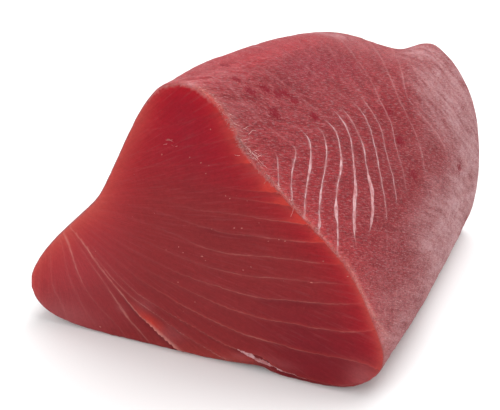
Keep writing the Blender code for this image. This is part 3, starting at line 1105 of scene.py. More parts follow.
class Pen:
    """Draws a node tree, a node at a time."""

    def __init__(self, tree):
        self.tree = tree

    def node(self, kind, inputs=None, **settings):
        made = self.tree.nodes.new(kind)
        for name, value in settings.items():
            setattr(made, name, value)
        for key, value in (inputs or {}).items():
            if isinstance(value, bpy.types.NodeSocket):
                self.tree.links.new(value, made.inputs[key])
            elif value is not None:
                made.inputs[key].default_value = value
        return made

    def drawn(self, kind, inputs=None, **settings):
        """The first output of a new node."""
        return self.node(kind, inputs, **settings).outputs[0]

    def math(self, operation, *values, clamp=False):
        return self.drawn("ShaderNodeMath", dict(enumerate(values)), operation=operation,
                          use_clamp=clamp)

    def times(self, value, *others):
        for other in others:
            value = self.math("MULTIPLY", value, other)
        return value

    def times_plus(self, value, factor, more, clamp=False):
        """A value times a factor, plus more."""
        return self.math("MULTIPLY_ADD", value, factor, more, clamp=clamp)

    def around(self, value):
        """A value from 0 to 1, moved to lie round 0."""
        return self.math("SUBTRACT", value, 0.5)

    def ranged(self, value, low, high, to_low=0.0, to_high=1.0, kind="SMOOTHSTEP"):
        inputs = {0: value, 1: low, 2: high, 3: to_low, 4: to_high}
        return self.drawn("ShaderNodeMapRange", inputs, interpolation_type=kind)

    def colour(self, share, first, second, blend="MIX"):
        def full(value):
            if isinstance(value, bpy.types.NodeSocket) or len(value) == 4:
                return value
            return (*value, 1.0)
        made = self.node("ShaderNodeMix", {0: share, 6: full(first), 7: full(second)},
                         data_type="RGBA", blend_type=blend)
        return made.outputs[2]

    def noise(self, vector, size, detail=2.0, roughness=0.5, distortion=0.0):
        """Noise with lumps about size across, in the vector's own unit."""
        inputs = {"Vector": vector, "Scale": 1 / size, "Detail": detail,
                  "Roughness": roughness, "Distortion": distortion}
        return self.drawn("ShaderNodeTexNoise", inputs)

    def vector(self, operation, inputs):
        return self.drawn("ShaderNodeVectorMath", inputs, operation=operation)

    def streaks(self, grain, scale, detail, roughness, distortion=0.0):
        """Noise drawn out along the fibres."""
        place = self.vector("MULTIPLY", {0: grain, 1: scale})
        return self.noise(place, 1.0, detail, roughness, distortion)

    def painted(self, name, output="Fac"):
        return self.node("ShaderNodeAttribute", attribute_name=name).outputs[output]


def new_material(name):
    """A material with a Principled BSDF: the pen for its tree, the shader and the material."""
    material = bpy.data.materials.new(name)
    material.use_nodes = True
    shader = material.node_tree.nodes["Principled BSDF"]
    return Pen(material.node_tree), shader, material


MOTTLE = {"Lumps per unit": 500.0, "Tone depth": 0.1, "Matt": 0.45, "Matt depth": 0.15}


def moist_mottle():
    """The node group for moist tissue: uneven tone, uneven gloss and small lumps."""
    found = bpy.data.node_groups.get("moist_mottle")
    if found:
        return found
    group = bpy.data.node_groups.new("moist_mottle", "ShaderNodeTree")
    sockets = group.interface
    sockets.new_socket("Vector", in_out="INPUT", socket_type="NodeSocketVector")
    for name, value in MOTTLE.items():
        socket = sockets.new_socket(name, in_out="INPUT", socket_type="NodeSocketFloat")
        socket.default_value = value
    for name in ("Tone", "Roughness", "Height"):
        sockets.new_socket(name, in_out="OUTPUT", socket_type="NodeSocketFloat")
    pen = Pen(group)
    given = pen.node("NodeGroupInput").outputs
    around = pen.around(pen.drawn("ShaderNodeTexNoise", {
        "Vector": given["Vector"], "Scale": given["Lumps per unit"], "Detail": 4.0,
        "Roughness": 0.62}))
    uneven = pen.around(pen.drawn("ShaderNodeTexNoise", {
        "Vector": given["Vector"], "Scale": pen.times(given["Lumps per unit"], 0.27),
        "Detail": 2.0}))
    pen.node("NodeGroupOutput", {
        "Tone": pen.times_plus(around, given["Tone depth"], 1.0),
        "Roughness": pen.times_plus(uneven, given["Matt depth"], given["Matt"]),
        "Height": around})
    return group


def mottle(pen, vector, *values):
    """Places the moist_mottle group in a material, with its own values for MOTTLE."""
    placed = pen.node("ShaderNodeGroup", node_tree=moist_mottle())
    pen.tree.links.new(vector, placed.inputs["Vector"])
    for name, value in zip(MOTTLE, values):
        placed.inputs[name].default_value = value
    return [placed.outputs[name] for name in ("Tone", "Roughness", "Height")]


def object_places(pen):
    return pen.node("ShaderNodeTexCoord").outputs["Object"]


def cover(pen, shader, colour, matt, high, gloss, depth):
    """Gives a shader its colour, roughness and relief in mm, and how deep light goes in, in m."""
    bump = pen.drawn("ShaderNodeBump", {"Strength": 1.0, "Distance": MM, "Height": high})
    for name, output in (("Base Color", colour), ("Roughness", matt), ("Normal", bump)):
        pen.tree.links.new(output, shader.inputs[name])
    for name, value in (("Specular IOR Level", gloss), ("Subsurface Weight", 0.2),
                        ("Subsurface Radius", (1.0, 0.28, 0.18)), ("Subsurface Scale", depth)):
        shader.inputs[name].default_value = value


def flesh_material(s):
    """Red flesh: seams between layers, a painted glow inside the cut's edge, painted shade under
    the layers' lips, frost with painted sheen and dark spots.
    """
    pen, shader, material = new_material("tuna_flesh")
    at = pen.vector("MULTIPLY", {0: object_places(pen), 1: (1 / MM,) * 3})
    grain = pen.painted("grain", "Vector")
    rate = pen.math("MAXIMUM", pen.painted("layer_rate"), 0.0005)
    ragged = pen.times(pen.around(pen.noise(at, 1.3, 3, 0.6)), 1.5)
    outside = pen.ranged(pen.math("ADD", pen.painted("rim"), ragged), 0.02, -0.22)

    # Seams between the layers.
    wobble = pen.times(pen.around(pen.noise(at, 2.2, 3)), 0.8)
    shifted = pen.times_plus(wobble, rate, pen.painted("layer"))
    away = pen.math("ABSOLUTE", pen.math("SUBTRACT", shifted, pen.math("ROUND", shifted)))
    gap = pen.math("DIVIDE", away, rate)
    uneven = pen.ranged(pen.noise(at, 4.0, 2), 0.3, 0.7, 0.6, 1.5, "LINEAR")
    half = pen.times(pen.painted("seam_half"), uneven)
    line = pen.ranged(pen.math("DIVIDE", gap, half), 1.15, 0.25)
    broken = pen.ranged(pen.noise(at, 6.0, 3), 0.36, 0.60, 0.40, 1.0)
    show = pen.painted("seam_show")
    line = pen.times(line, broken, show)
    halo = pen.math("SUBTRACT", 1.0, pen.math("DIVIDE", gap, 1.6), clamp=True)
    halo = pen.times(halo, show)

    # Each layer has its own tone. Painted glow where light comes through above its lower seam,
    # and painted shade just under the seam above it, beneath the proud lip of the layer over it.
    within = pen.math("FRACT", shifted)
    own = pen.node("ShaderNodeTexWhiteNoise", {"W": pen.math("FLOOR", shifted)},
                   noise_dimensions="1D").outputs["Value"]
    lip = pen.painted("lip")
    lit = pen.ranged(pen.math("ADD", within, lip), 1.0, 1.5)
    unlit = pen.times(lip, pen.ranged(within, 0.55, 0.02))

    tone, matt, lumps_high = mottle(pen, at, 1 / 1.2, 0.34, s.roughness, 0.18)
    streak = pen.streaks(grain, (0.10, 1.15, 0.6), 4, 0.6)
    hair = pen.streaks(grain, (0.55, 2.8, 1.0), 3, 0.6, 0.6)
    marbling = pen.ranged(pen.streaks(grain, (0.07, 0.8, 0.6), 4, 0.65), 0.50, 0.72)
    inner = pen.times_plus(outside, -0.22, 0.22)
    colour = pen.colour(pen.times(marbling, inner), pen.painted("flesh_tone", "Color"),
                        s.salmon)
    colour = pen.colour(pen.times(lit, 0.5), colour, s.flap_glow)
    grit = pen.around(pen.noise(at, 0.55, 3, 0.75))
    hairs = pen.times(pen.around(hair), 1.3)
    rough_tone = pen.times(pen.math("ADD", grit, hairs), pen.times_plus(outside, 1.2, 0.25))
    shade = pen.times(tone, pen.ranged(own, 0, 1, 0.98, 1.02, "LINEAR"),
                      pen.ranged(streak, 0.3, 0.7, 0.92, 1.085, "LINEAR"),
                      pen.math("SUBTRACT", 1.0, pen.times(unlit, 0.34)),
                      pen.math("ADD", rough_tone, 1.0))
    colour = pen.colour(1.0, colour, shade, "MULTIPLY")

    # Frost and painted sheen on the outside, in strands and flecks, and dark spots.
    strands = pen.ranged(hair, 0.30, 0.72, 0.60, 1.35, "LINEAR")
    flecks = pen.ranged(pen.streaks(grain, (0.5, 2.1, 1.2), 3, 0.7), 0.50, 0.68)
    frost_and_sheen = pen.times(pen.painted("frost_and_sheen"), strands)
    frost_and_sheen = pen.times_plus(pen.times(flecks, outside), 0.44, frost_and_sheen, clamp=True)
    colour = pen.colour(frost_and_sheen, colour, s.frost_and_sheen)
    spots = pen.times(pen.painted("spots"), 0.75)
    spots = pen.ranged(pen.times_plus(pen.noise(at, 0.8, 2, 0.6), 2.0, spots), 1.15, 1.55)
    dapples = pen.times(pen.ranged(pen.noise(at, 3.4, 3, 0.65), 0.53, 0.66),
                        pen.ranged(pen.noise(at, 1.1, 3, 0.6), 0.50, 0.66))
    dark = pen.times(pen.times_plus(dapples, 0.30, pen.times(spots, 0.85)), outside)
    colour = pen.colour(dark, colour, s.bruise)

    # Pale frayed lines and painted highlight lines along the rim, where the outside meets a cut.
    fray_and_highlight = pen.times(pen.ranged(pen.noise(at, 0.8, 3, 0.7), 0.38, 0.62, 0.25, 1.0),
                     pen.painted("fray_and_highlight"))
    colour = pen.colour(pen.times(fray_and_highlight, 0.5), colour, s.seam)
    pale = pen.colour(outside, s.seam, s.vein)
    colour = pen.colour(pen.times(halo, 0.10), colour, pale)
    colour = pen.colour(pen.times(line, 0.62), colour, pale)

    # The outside is rougher than the cuts.
    high = pen.times(lumps_high, pen.times_plus(outside, 0.30, 0.09))
    high = pen.times_plus(hair, pen.times_plus(outside, 0.16, 0.02), high)
    high = pen.times_plus(grit, pen.times_plus(outside, 0.34, 0.05), high)
    high = pen.times_plus(line, -0.07, high)
    high = pen.times_plus(dark, -0.12, high)
    cover(pen, shader, colour, pen.times_plus(outside, 0.10, matt), high, 0.1, 0.003)
    return material


def tissue_material(name, colour, deep, roughness=0.5):
    """Pale connective tissue: mottled between its own colour and a deeper one."""
    pen, shader, material = new_material(name)
    at = object_places(pen)
    tone, matt, height = mottle(pen, at, 900.0, 0.35, roughness, 0.2)
    share = pen.ranged(pen.noise(at, 2.4 * MM, 3, 0.6), 0.34, 0.66)
    colour = pen.colour(1.0, pen.colour(share, deep, colour), tone, "MULTIPLY")
    cover(pen, shader, colour, matt, pen.times(height, 0.25), 0.15, 0.002)
    return material


# ---------------------------------------------------------------------------------------------
# Seams, fibres and scraps, made with Geometry Nodes


def new_tree(name, sizes):
    """A Geometry Nodes tree with named inputs: its pen, its input node and the tree."""
    tree = bpy.data.node_groups.new(name, "GeometryNodeTree")
    sockets = tree.interface
    sockets.new_socket("Geometry", in_out="INPUT", socket_type="NodeSocketGeometry")
    kinds = {float: "NodeSocketFloat", int: "NodeSocketInt"}
    for label, value in sizes.items():
        socket = sockets.new_socket(label, in_out="INPUT", socket_type=kinds[type(value)])
        socket.default_value = value
    sockets.new_socket("Material", in_out="INPUT", socket_type="NodeSocketMaterial")
    sockets.new_socket("Geometry", in_out="OUTPUT", socket_type="NodeSocketGeometry")
    pen = Pen(tree)
    return pen, pen.node("NodeGroupInput").outputs, tree


def named(pen, name, kind="FLOAT"):
    return pen.drawn("GeometryNodeInputNamedAttribute", {"Name": name}, data_type=kind)


def finished(pen, given, geometry):
    """Ends a tree: each point moved a little by noise, realised, smooth and in its material."""
    place = pen.drawn("GeometryNodeInputPosition")
    apart = pen.drawn("ShaderNodeCombineXYZ", dict.fromkeys(range(3), given["Seed"]))
    noise = pen.node("ShaderNodeTexNoise", {
        "Vector": pen.vector("ADD", {0: place, 1: apart}),
        "Scale": pen.math("DIVIDE", 1.0, given["Ruffle size"]), "Detail": 2.0})
    middle = pen.vector("SUBTRACT", {0: noise.outputs[1], 1: (0.5, 0.5, 0.5)})
    moved = pen.vector("SCALE", {0: middle, "Scale": given["Ruffle"]})
    ruffled = pen.drawn("GeometryNodeSetPosition", {"Geometry": geometry, "Offset": moved})
    real = pen.drawn("GeometryNodeRealizeInstances", {0: ruffled})
    smooth = pen.drawn("GeometryNodeSetShadeSmooth", {0: real})
    pen.node("NodeGroupOutput", {0: pen.drawn("GeometryNodeSetMaterial", {
        "Geometry": smooth, "Material": given["Material"]})})


def strewn(pen, given, shape):
    """Puts a shape at each point, turned along the point's own direction, and ends the tree."""
    points = pen.drawn("GeometryNodeMeshToPoints", {0: given["Geometry"]})
    turn = pen.drawn("FunctionNodeAxesToRotation", {
        0: named(pen, "along", "FLOAT_VECTOR"), 1: named(pen, "out", "FLOAT_VECTOR")},
        primary_axis="X", secondary_axis="Z")
    spread = pen.drawn("GeometryNodeInstanceOnPoints", {
        "Points": points, "Instance": shape, "Rotation": turn, "Scale": named(pen, "size")})
    finished(pen, given, pen.drawn("GeometryNodeRealizeInstances", {0: spread}))


def seam_tree():
    """Flat strips of tissue along lines: half as wide as each point's half_width says."""
    pen, given, tree = new_tree("seam_strips", {"Thickness": 0.3, "Ruffle": 0.0001,
                                                "Ruffle size": 0.002, "Seed": 3.0})
    curve = pen.drawn("GeometryNodeMeshToCurve", {0: given["Geometry"]})
    curve = pen.drawn("GeometryNodeSetCurveNormal",
                      {0: curve, "Normal": named(pen, "out", "FLOAT_VECTOR")}, mode="FREE")
    ring = pen.drawn("GeometryNodeCurvePrimitiveCircle", {"Resolution": 8, "Radius": 1.0})
    flat = pen.drawn("ShaderNodeCombineXYZ", {0: given["Thickness"], 1: 1.0, 2: 1.0})
    profile = pen.drawn("GeometryNodeTransform", {0: ring, "Scale": flat})
    finished(pen, given, pen.drawn("GeometryNodeCurveToMesh", {
        "Curve": curve, "Profile Curve": profile, "Scale": named(pen, "half_width"),
        "Fill Caps": True}))
    return tree


def fibre_tree():
    """A bent, tapered fibre at each point, laid along the point's own direction."""
    pen, given, tree = new_tree("fibres", {"Slimness": 0.02, "Bend": 0.12, "Steps": 8,
                                           "Sides": 4, "Ruffle": 0.0003,
                                           "Ruffle size": 0.002, "Seed": 5.0})
    middle = pen.drawn("ShaderNodeCombineXYZ", {0: 0.5, 2: given["Bend"]})
    bent = pen.drawn("GeometryNodeCurveQuadraticBezier", {
        "Resolution": given["Steps"], "Start": (0.0, 0.0, -0.03), "Middle": middle,
        "End": (1.0, 0.0, 0.02)})
    ring = pen.drawn("GeometryNodeCurvePrimitiveCircle", {
        "Resolution": given["Sides"], "Radius": given["Slimness"]})
    along = pen.node("GeometryNodeSplineParameter").outputs["Factor"]
    strewn(pen, given, pen.drawn("GeometryNodeCurveToMesh", {
        "Curve": bent, "Profile Curve": ring, "Scale": pen.times_plus(along, -0.7, 1.0),
        "Fill Caps": True}))
    return tree


def scrap_tree():
    """A small uneven crumb at each point, flattened onto the surface."""
    pen, given, tree = new_tree("scraps", {"Flatness": 0.5, "Ruffle": 0.0004,
                                           "Ruffle size": 0.0006, "Seed": 7.0})
    ball = pen.drawn("GeometryNodeMeshIcoSphere", {"Radius": 1.0, "Subdivisions": 2})
    flat = pen.drawn("ShaderNodeCombineXYZ", {0: 1.0, 1: 0.6, 2: given["Flatness"]})
    strewn(pen, given, pen.drawn("GeometryNodeTransform", {0: ball, "Scale": flat}))
    return tree


def grown(name, tree, base, inputs, material):
    """Runs a Geometry Nodes tree on a base mesh and links its result as a plain piece."""
    holder = linked(name + "_base", base)
    modifier = holder.modifiers.new("grown", "NODES")
    modifier.node_group = tree
    identifiers = {item.name: item.identifier for item in tree.interface.items_tree
                   if item.in_out == "INPUT"}
    for label, value in {**inputs, "Material": material}.items():
        modifier[identifiers[label]] = value
    evaluated = holder.evaluated_get(bpy.context.evaluated_depsgraph_get())
    mesh = bpy.data.meshes.new_from_object(evaluated)
    mesh.name = name
    bpy.data.objects.remove(holder)
    bpy.data.meshes.remove(base)
    if not mesh.polygons:
        raise RuntimeError(f"{name} came out empty")
    if not mesh.materials:
        mesh.materials.append(material)
    outward(mesh)
    mesh.shade_smooth()
    return linked(name, mesh)


def points_mesh(name, parts, edges=()):
    """A mesh of points, with each part's places, directions and sizes."""
    values = joined_values(parts)
    mesh = bpy.data.meshes.new(name)
    mesh.from_pydata(values.pop("place") * MM, edges, [])
    for label, data in values.items():
        set_attribute(mesh, label, "FLOAT_VECTOR" if np.ndim(data) == 2 else "FLOAT", data)
    return mesh


# How thick the white seams grow: the seam's number, how far down it is, how far it spreads and
# how much it adds to the half width, all but the first in mm.
THICK_PLACES = (
    (1, 51.5, 1.6, 0.25), (1, 42, 5, 0.08), (2, 45.5, 3.0, 0.28), (3, 45.5, 2.0, 0.12),
    (3, 55.5, 1.8, 0.40), (3, 62.5, 1.2, 0.40), (4, 39.5, 2, 0.14), (4, 51.5, 3.0, 0.30),
    (4, 62.3, 3.0, 0.85), (4, 68.5, 3, 0.20), (5, 55, 1.7, 0.34), (5, 66.0, 11.0, 0.48),
    (5, 60.8, 3.5, 0.36), (5, 71.0, 3.0, 0.10), (6, 62.5, 2.6, 0.16), (6, 68.0, 11.0, 0.46),
    (6, 63.5, 4.0, 0.30), (6, 73.0, 3, 0.20),
    (7, 56, 9, 0.10), (8, 66, 8, 0.05),
)
# Where each white seam starts and ends, in mm down the flank, from seam 0 on, and how wide half
# of it is where it is thin.
SEAM_SPANS = ((36, 45.2, 0.16), (38.6, 51.3, 0.2), (33.8, 56, 0.2), (38.4, 63.9, 0.2),
              (37, 71.7, 0.22), (34.9, 73.6, 0.22), (47.5, 75.3, 0.2), (39.2, 77.2, 0.13),
              (45.6, 74.3, 0.10), (47.4, 60.6, 0.09))
SEAMS_AT_CUT = 5                 # the first ones run right to the edge of the near cut


def seam_back(seam, down):
    """How far back a seam lies at places down the flank."""
    back = np.arange(-2, 124, 0.25)
    out = []
    for place in down:
        layer = layer_on_flank(back, np.full(len(back), place))
        out.append(np.interp(seam, np.maximum.accumulate(layer), back))
    return np.array(out)


def on_near_cut(block, x, z):
    """Where the flesh's near cut lies at places (x, z), and its normals."""
    places, normals = [], []
    for px, pz in zip(x, z):
        hit, normal, *_ = block.flesh_tree.ray_cast(Vector((px, -200, pz)), Vector((0, 1, 0)))
        places.append(hit)
        normals.append(normal if normal.y < 0 else -normal)
    return np.array(places), np.array(normals)


# A strip of white fat along the torn foot of the near cut: (x, z) and half its width, in mm.
FAT_STRIP = ((9.3, 7.9, 0.2), (10.1, 7.7, 0.6), (11.8, 7.3, 1.0), (13.5, 6.7, 1.0),
             (15.2, 5.9, 0.5), (17.0, 5.1, 0.85), (19.9, 4.7, 0.85), (22.0, 4.1, 0.55),
             (24.5, 3.5, 0.4), (28.7, 2.9, 0.28), (32.4, 2.3, 0.22), (35, 2.0, 0.1))


def build_seams(block, settings):
    """White strips along the folded seams of the flank and the torn foot of the near cut."""
    parts, edges = [], []
    rng = np.random.default_rng(91)

    def add_line(centre, normal, proud, half):
        first = sum(len(part["place"]) for part in parts)
        edges.extend((first + i, first + i + 1) for i in range(len(half) - 1))
        parts.append({"place": centre + normal * proud, "out": normal, "half_width": half * MM})

    def wavering(down, gap, count):
        return np.interp(down, np.arange(30, 90, gap), rng.uniform(-1, 1, count))

    for seam, (start, end, thin) in enumerate(SEAM_SPANS):
        down = np.arange(start, end, 0.55)
        back = seam_back(seam, down)
        meets_cut = seam < SEAMS_AT_CUT
        keep = back > (0.15 if meets_cut else 0.0)
        down, back = down[keep], back[keep]
        half = thin * (1 + 0.4 * wavering(down, 1.3, 47))
        knots = wavering(down, 1.5, 40)
        back = back + 0.32 * wavering(down, 2.0, 30)
        for number, middle, spread, more in THICK_PLACES:
            if number == seam:
                half = half + more * hump(middle, spread, down)
        taper = smooth_step(0, 4.5, down - down[0])
        if not meets_cut:
            taper = taper * smooth_step(0, 3, down[-1] - down)
        else:
            half = half + 0.28 * hump(0.8, 1.3, back)
        half = half * (0.25 + 0.75 * taper) * (1 + 0.3 * knots)
        add_line(block.read(block.skin, back, down), block.read(block.normal, back, down), 0.02,
                 half)
    x, z, half = np.array(FAT_STRIP).T
    fine_x = np.arange(x[0], x[-1], 0.5)
    fine_z = np.interp(fine_x, x, z) + rng.uniform(-0.12, 0.12, len(fine_x))
    add_line(*on_near_cut(block, fine_x, fine_z), 0.03,
             np.interp(fine_x, x, half) * rng.uniform(0.75, 1.25, len(fine_x)))
    return grown("white_seams", seam_tree(), points_mesh("seam_lines", parts, edges),
                 {"Thickness": settings.thickness, "Ruffle": 0.0003, "Ruffle size": 0.0009},
                 tissue_material("seam_white", settings.colour, paint(170, 104, 106)))


def laid(place, normal, along, lift, size):
    """What a small thing on the surface needs, its direction lifted off the surface a little."""
    return {"place": place, "along": unit(along + normal * lift[:, None]), "out": normal,
            "size": size * MM}


def on_outside(block, back, down, angle, lift, size):
    """Things that lie on the outside. An angle of 0 points straight back, and a quarter turn
    points down."""
    place = block.read(block.skin, back, down)
    normal = block.read(block.normal, back, down)
    # The grid ends just short of each cut, so there the way back is read a little further in.
    ringed = np.clip(back, 2.5, block.length - 2.5)
    ahead = unit(block.read(block.skin, ringed + 0.6, down)
                 - block.read(block.skin, ringed - 0.6, down))
    under = np.cross(ahead, normal)
    drop = block.read(block.skin, back, down + 0.6) - place
    under *= np.sign((under * drop).sum(axis=1, keepdims=True))
    along = ahead * np.cos(angle)[:, None] + under * np.sin(angle)[:, None]
    return laid(place, normal, along, lift, size)


def on_cut(block, x, z, angle, lift, size):
    """Things that lie on the near cut. An angle of 0 points to +X, and a quarter turn points
    up."""
    place, normal = on_near_cut(block, x, z)
    along = np.stack([np.cos(angle), 0 * angle, np.sin(angle)], axis=1)
    return laid(place, normal, along, lift, size)


# Where fibres fray from the edge of the near cut: how far down, how far they spread, in mm, and
# their share.
FRAYED_PLACES = ((28, 4, 0.34), (40, 4, 0.14), (20, 7, 0.14), (50, 6, 0.10), (60, 8, 0.14),
                 (75, 9, 0.14))


def build_fibres(block, settings):
    """Fibres frayed from the edge of the near cut, and fuzz over the flank."""
    rng = np.random.default_rng(17)
    count = settings.edge_count
    middles, spreads, shares = np.array(FRAYED_PLACES).T
    chosen = rng.choice(len(shares), count, p=shares / shares.sum())
    down = rng.normal(middles[chosen], spreads[chosen] * 0.6)
    back = np.abs(rng.normal(0.3, 1.2, count)) + 0.1
    angle = rng.normal(math.radians(150), 0.9, count)
    size = rng.gamma(3.0, 0.36, count) + 0.5
    edge = on_outside(block, back, np.clip(down, 1, 120), angle,
                      rng.uniform(0.0, 0.28, count), size)
    count = settings.fuzz_count
    down = rng.uniform(2, 122, count)
    back = rng.uniform(1.5, 119, count)
    chance = 0.25 + 0.75 * smooth_step(70, 30, back) + 0.3 * smooth_step(80, 110, down)
    keep = rng.uniform(0, 1, count) < chance
    down, back = down[keep], back[keep]
    angle = fibre_turn(back, down) + rng.normal(0, 0.35, len(down))
    size = rng.gamma(3.0, 0.28, len(down)) + 0.35
    fuzz = on_outside(block, back, down, angle, rng.uniform(-0.03, 0.04, len(down)), size)
    return grown("fibres", fibre_tree(), points_mesh("fibre_roots", [edge, fuzz]),
                 {"Slimness": 0.026, "Bend": 0.10, "Ruffle": 0.0008, "Ruffle size": 0.0012},
                 tissue_material("fibre_pale", settings.colour, paint(160, 86, 87)))


# Where the white threads gather: (x, z) on the near cut, or back and down on the flank, how far
# they spread both ways, their share, which way they lie in degrees, their usual length in mm and
# whether they are on the cut.
THREAD_CLUSTERS = (
    (4.2, 26.5, 2.2, 2.0, 0.08, 34, 2.8, False), (2.0, 33.0, 0.6, 2.2, 0.22, 62, 1.9, False),
    (2.8, 20.0, 0.9, 3.0, 0.16, 40, 1.5, False), (2.2, 12.0, 0.8, 5.0, 0.14, 38, 1.2, False),
    (0.7, 42.0, 0.4, 5.0, 0.12, 70, 1.4, False), (1.9, 27.0, 1.2, 4.0, 0.18, 34, 1.5, False),
    (-14, 84.0, 1.2, 1.0, 0.06, 10, 1.1, True), (14, 82.5, 1.8, 1.2, 0.04, 0, 1.3, True),
)


def build_threads(block, settings):
    """Curly white threads round the frayed edge of the near cut."""
    rng = np.random.default_rng(29)
    parts = []
    for first, second, spread, rise, share, turn, length, cut in THREAD_CLUSTERS:
        count = round(settings.thread_count * share)
        size = length * rng.uniform(0.6, 1.5, count)
        angle = np.radians(rng.normal(turn, 20, count)) + math.pi * rng.integers(0, 2, count)
        lift = rng.uniform(0.0, 0.08, count)
        one, other = rng.normal(first, spread, count), rng.normal(second, rise, count)
        if cut:
            parts.append(on_cut(block, one, other, angle, lift, size))
        else:
            parts.append(on_outside(block, np.maximum(one, 0.3), np.clip(other, 1, 120), angle,
                                    lift, size))
    return grown("edge_threads", fibre_tree(), points_mesh("thread_roots", parts),
                 {"Slimness": 0.027, "Bend": 0.16, "Steps": 12, "Ruffle": 0.0004,
                  "Ruffle size": 0.0016, "Seed": 9.0},
                 tissue_material("thread_white", settings.thread, paint(214, 150, 148)))


# Scraps that lie on the near cut: (x, z) in mm, half their length in mm and their turn.
CUT_SCRAPS = (
    (-14.0, 84.5, 0.9, 0.5), (-16.5, 78.8, 0.5, 1.0), (-2.8, 78.5, 0.5, 0.6),
    (-1.2, 75.0, 0.4, 0.4), (0.4, 90.3, 0.45, 1.9), (-6.7, 79.7, 0.4, 0.2),
    (5.5, 68.3, 0.45, 2.0), (0.8, 55.5, 0.5, 0.3), (-11.3, 46.0, 0.45, 1.2),
    (-9.7, 44.2, 0.4, 0.2), (-2.8, 44.3, 0.75, 0.1), (-1.5, 43.0, 0.4, 0.9),
    (8.5, 57.3, 0.5, 0.2), (11.0, 57.6, 0.55, 0.1), (23.5, 55.7, 0.45, 0.5),
    (25.5, 55.5, 0.5, 0.8), (35.0, 42.3, 0.8, 0.1), (-12.0, 31.7, 0.5, 1.5),
    (20.0, 54.5, 0.4, 0.4), (38.5, 51.0, 0.45, 0.6), (42.5, 53.0, 0.4, 0.2),
    (46.5, 46.7, 0.55, 0.3), (-35.5, 14.0, 0.6, 0.4), (-45.0, 3.2, 0.7, 2.2),
)
# Pale flecks and knots on the flank: how far back and down, half their length and their turn.
FLANK_SCRAPS = (
    (2.1, 44.2, 0.45, 0.3), (2.2, 51.3, 0.45, 1.0), (1.6, 55.0, 0.4, 0.2),
    (1.5, 63.2, 0.7, 0.6), (1.5, 71.1, 0.45, 0.9), (1.5, 78.8, 0.4, 0.4),
    (15.9, 4.2, 0.5, 0.5), (16.9, 5.0, 0.35, 1.4), (18.0, 10.0, 0.45, 0.2),
    (19.1, 10.6, 0.3, 0.9), (58.9, 68.6, 0.75, 0.6), (59.0, 45.6, 0.45, 0.4),
    (65.0, 51.1, 0.45, 0.7), (64.0, 61.6, 0.45, 0.3), (23.2, 85.8, 0.5, 0.6),
    (12.1, 80.3, 0.45, 0.5), (5.5, 30.5, 0.45, 1.0),
)


# How many smaller ones lie at random on the cut and on the flank.
LOOSE_ON_CUT = 26
LOOSE_ON_FLANK = 30


def build_scraps(block, settings):
    """Scraps and flecks that cling to the near cut and the flank."""
    rng = np.random.default_rng(23)
    x, z, size, turn = np.array(CUT_SCRAPS).T
    count = LOOSE_ON_CUT
    x = np.concatenate([x, rng.uniform(-45, 38, count)])
    z = np.concatenate([z, rng.uniform(8, 80, count)])
    size = np.concatenate([0.62 * size, rng.gamma(2.5, 0.04, count) + 0.06])
    turn = np.concatenate([turn, rng.uniform(0, math.pi, count)])
    within = inside(np.stack([x, z], axis=1), block.grid[0][:, [0, 2]])
    x, z, size, turn = x[within], z[within], size[within], turn[within]
    cut = on_cut(block, x, z, turn, 0 * turn, size)
    count = LOOSE_ON_FLANK
    down, back = rng.uniform(4, 118, count), rng.uniform(3, 90, count)
    size, turn = rng.gamma(2.5, 0.05, count) + 0.07, rng.uniform(0, math.pi, count)
    back, down, size, turn = (np.concatenate([one, other]) for one, other in
                              zip((back, down, size, turn), np.array(FLANK_SCRAPS).T))
    flank = on_outside(block, back, down, turn, 0 * turn, 0.8 * size)
    return grown("scraps", scrap_tree(), points_mesh("scrap_places", [cut, flank]),
                 {"Flatness": 0.4, "Ruffle": 0.00035, "Ruffle size": 0.0006},
                 tissue_material("scrap_pale", settings.scrap, paint(152, 72, 70), 0.4))


# ---------------------------------------------------------------------------------------------
# The stage


def plain_material(name, colour, roughness):
    """A plain studio surface with the faintest unevenness."""
    pen, shader, material = new_material(name)
    tone = pen.ranged(pen.noise(object_places(pen), 0.4, 2), 0.2, 0.8, 0.985, 1.0, "LINEAR")
    pen.tree.links.new(pen.colour(1.0, colour, tone, "MULTIPLY"), shader.inputs["Base Color"])
    shader.inputs["Roughness"].default_value = roughness
    shader.inputs["Specular IOR Level"].default_value = 0.1
    return material


def build_floor(settings):
    """A plain pale floor, 6 m across."""
    mesh = bpy.data.meshes.new("floor")
    corners = [(-3, -3, 0), (3, -3, 0), (3, 3, 0), (-3, 3, 0)]
    mesh.from_pydata(corners, [], [(0, 1, 2, 3)])
    mesh.materials.append(plain_material("floor_pale", settings.floor, 0.7))
    linked("floor", mesh)


def area_light(name, power, size, place, target):
    data = bpy.data.lights.new(name, "AREA")
    data.shape = "RECTANGLE"
    data.size, data.size_y = size
    data.energy = power
    light = linked(name, data)
    light.location = place
    light.rotation_euler = (Vector(target) - Vector(place)).to_track_quat("-Z", "Y").to_euler()


CAMERA_TARGET = (-0.02423, 0.04380, 0.0025)


def build_camera(settings):
    data = bpy.data.cameras.new("camera")
    data.lens = settings.lens
    data.sensor_width = 36.0
    data.clip_start = 0.01
    camera = linked("camera", data)
    a, e = settings.azimuth, settings.elevation
    back = Vector((math.sin(a) * math.cos(e), -math.cos(a) * math.cos(e), math.sin(e)))
    camera.location = Vector(CAMERA_TARGET) + back * settings.distance
    camera.rotation_euler = back.to_track_quat("Z", "Y").to_euler()
    bpy.context.scene.camera = camera


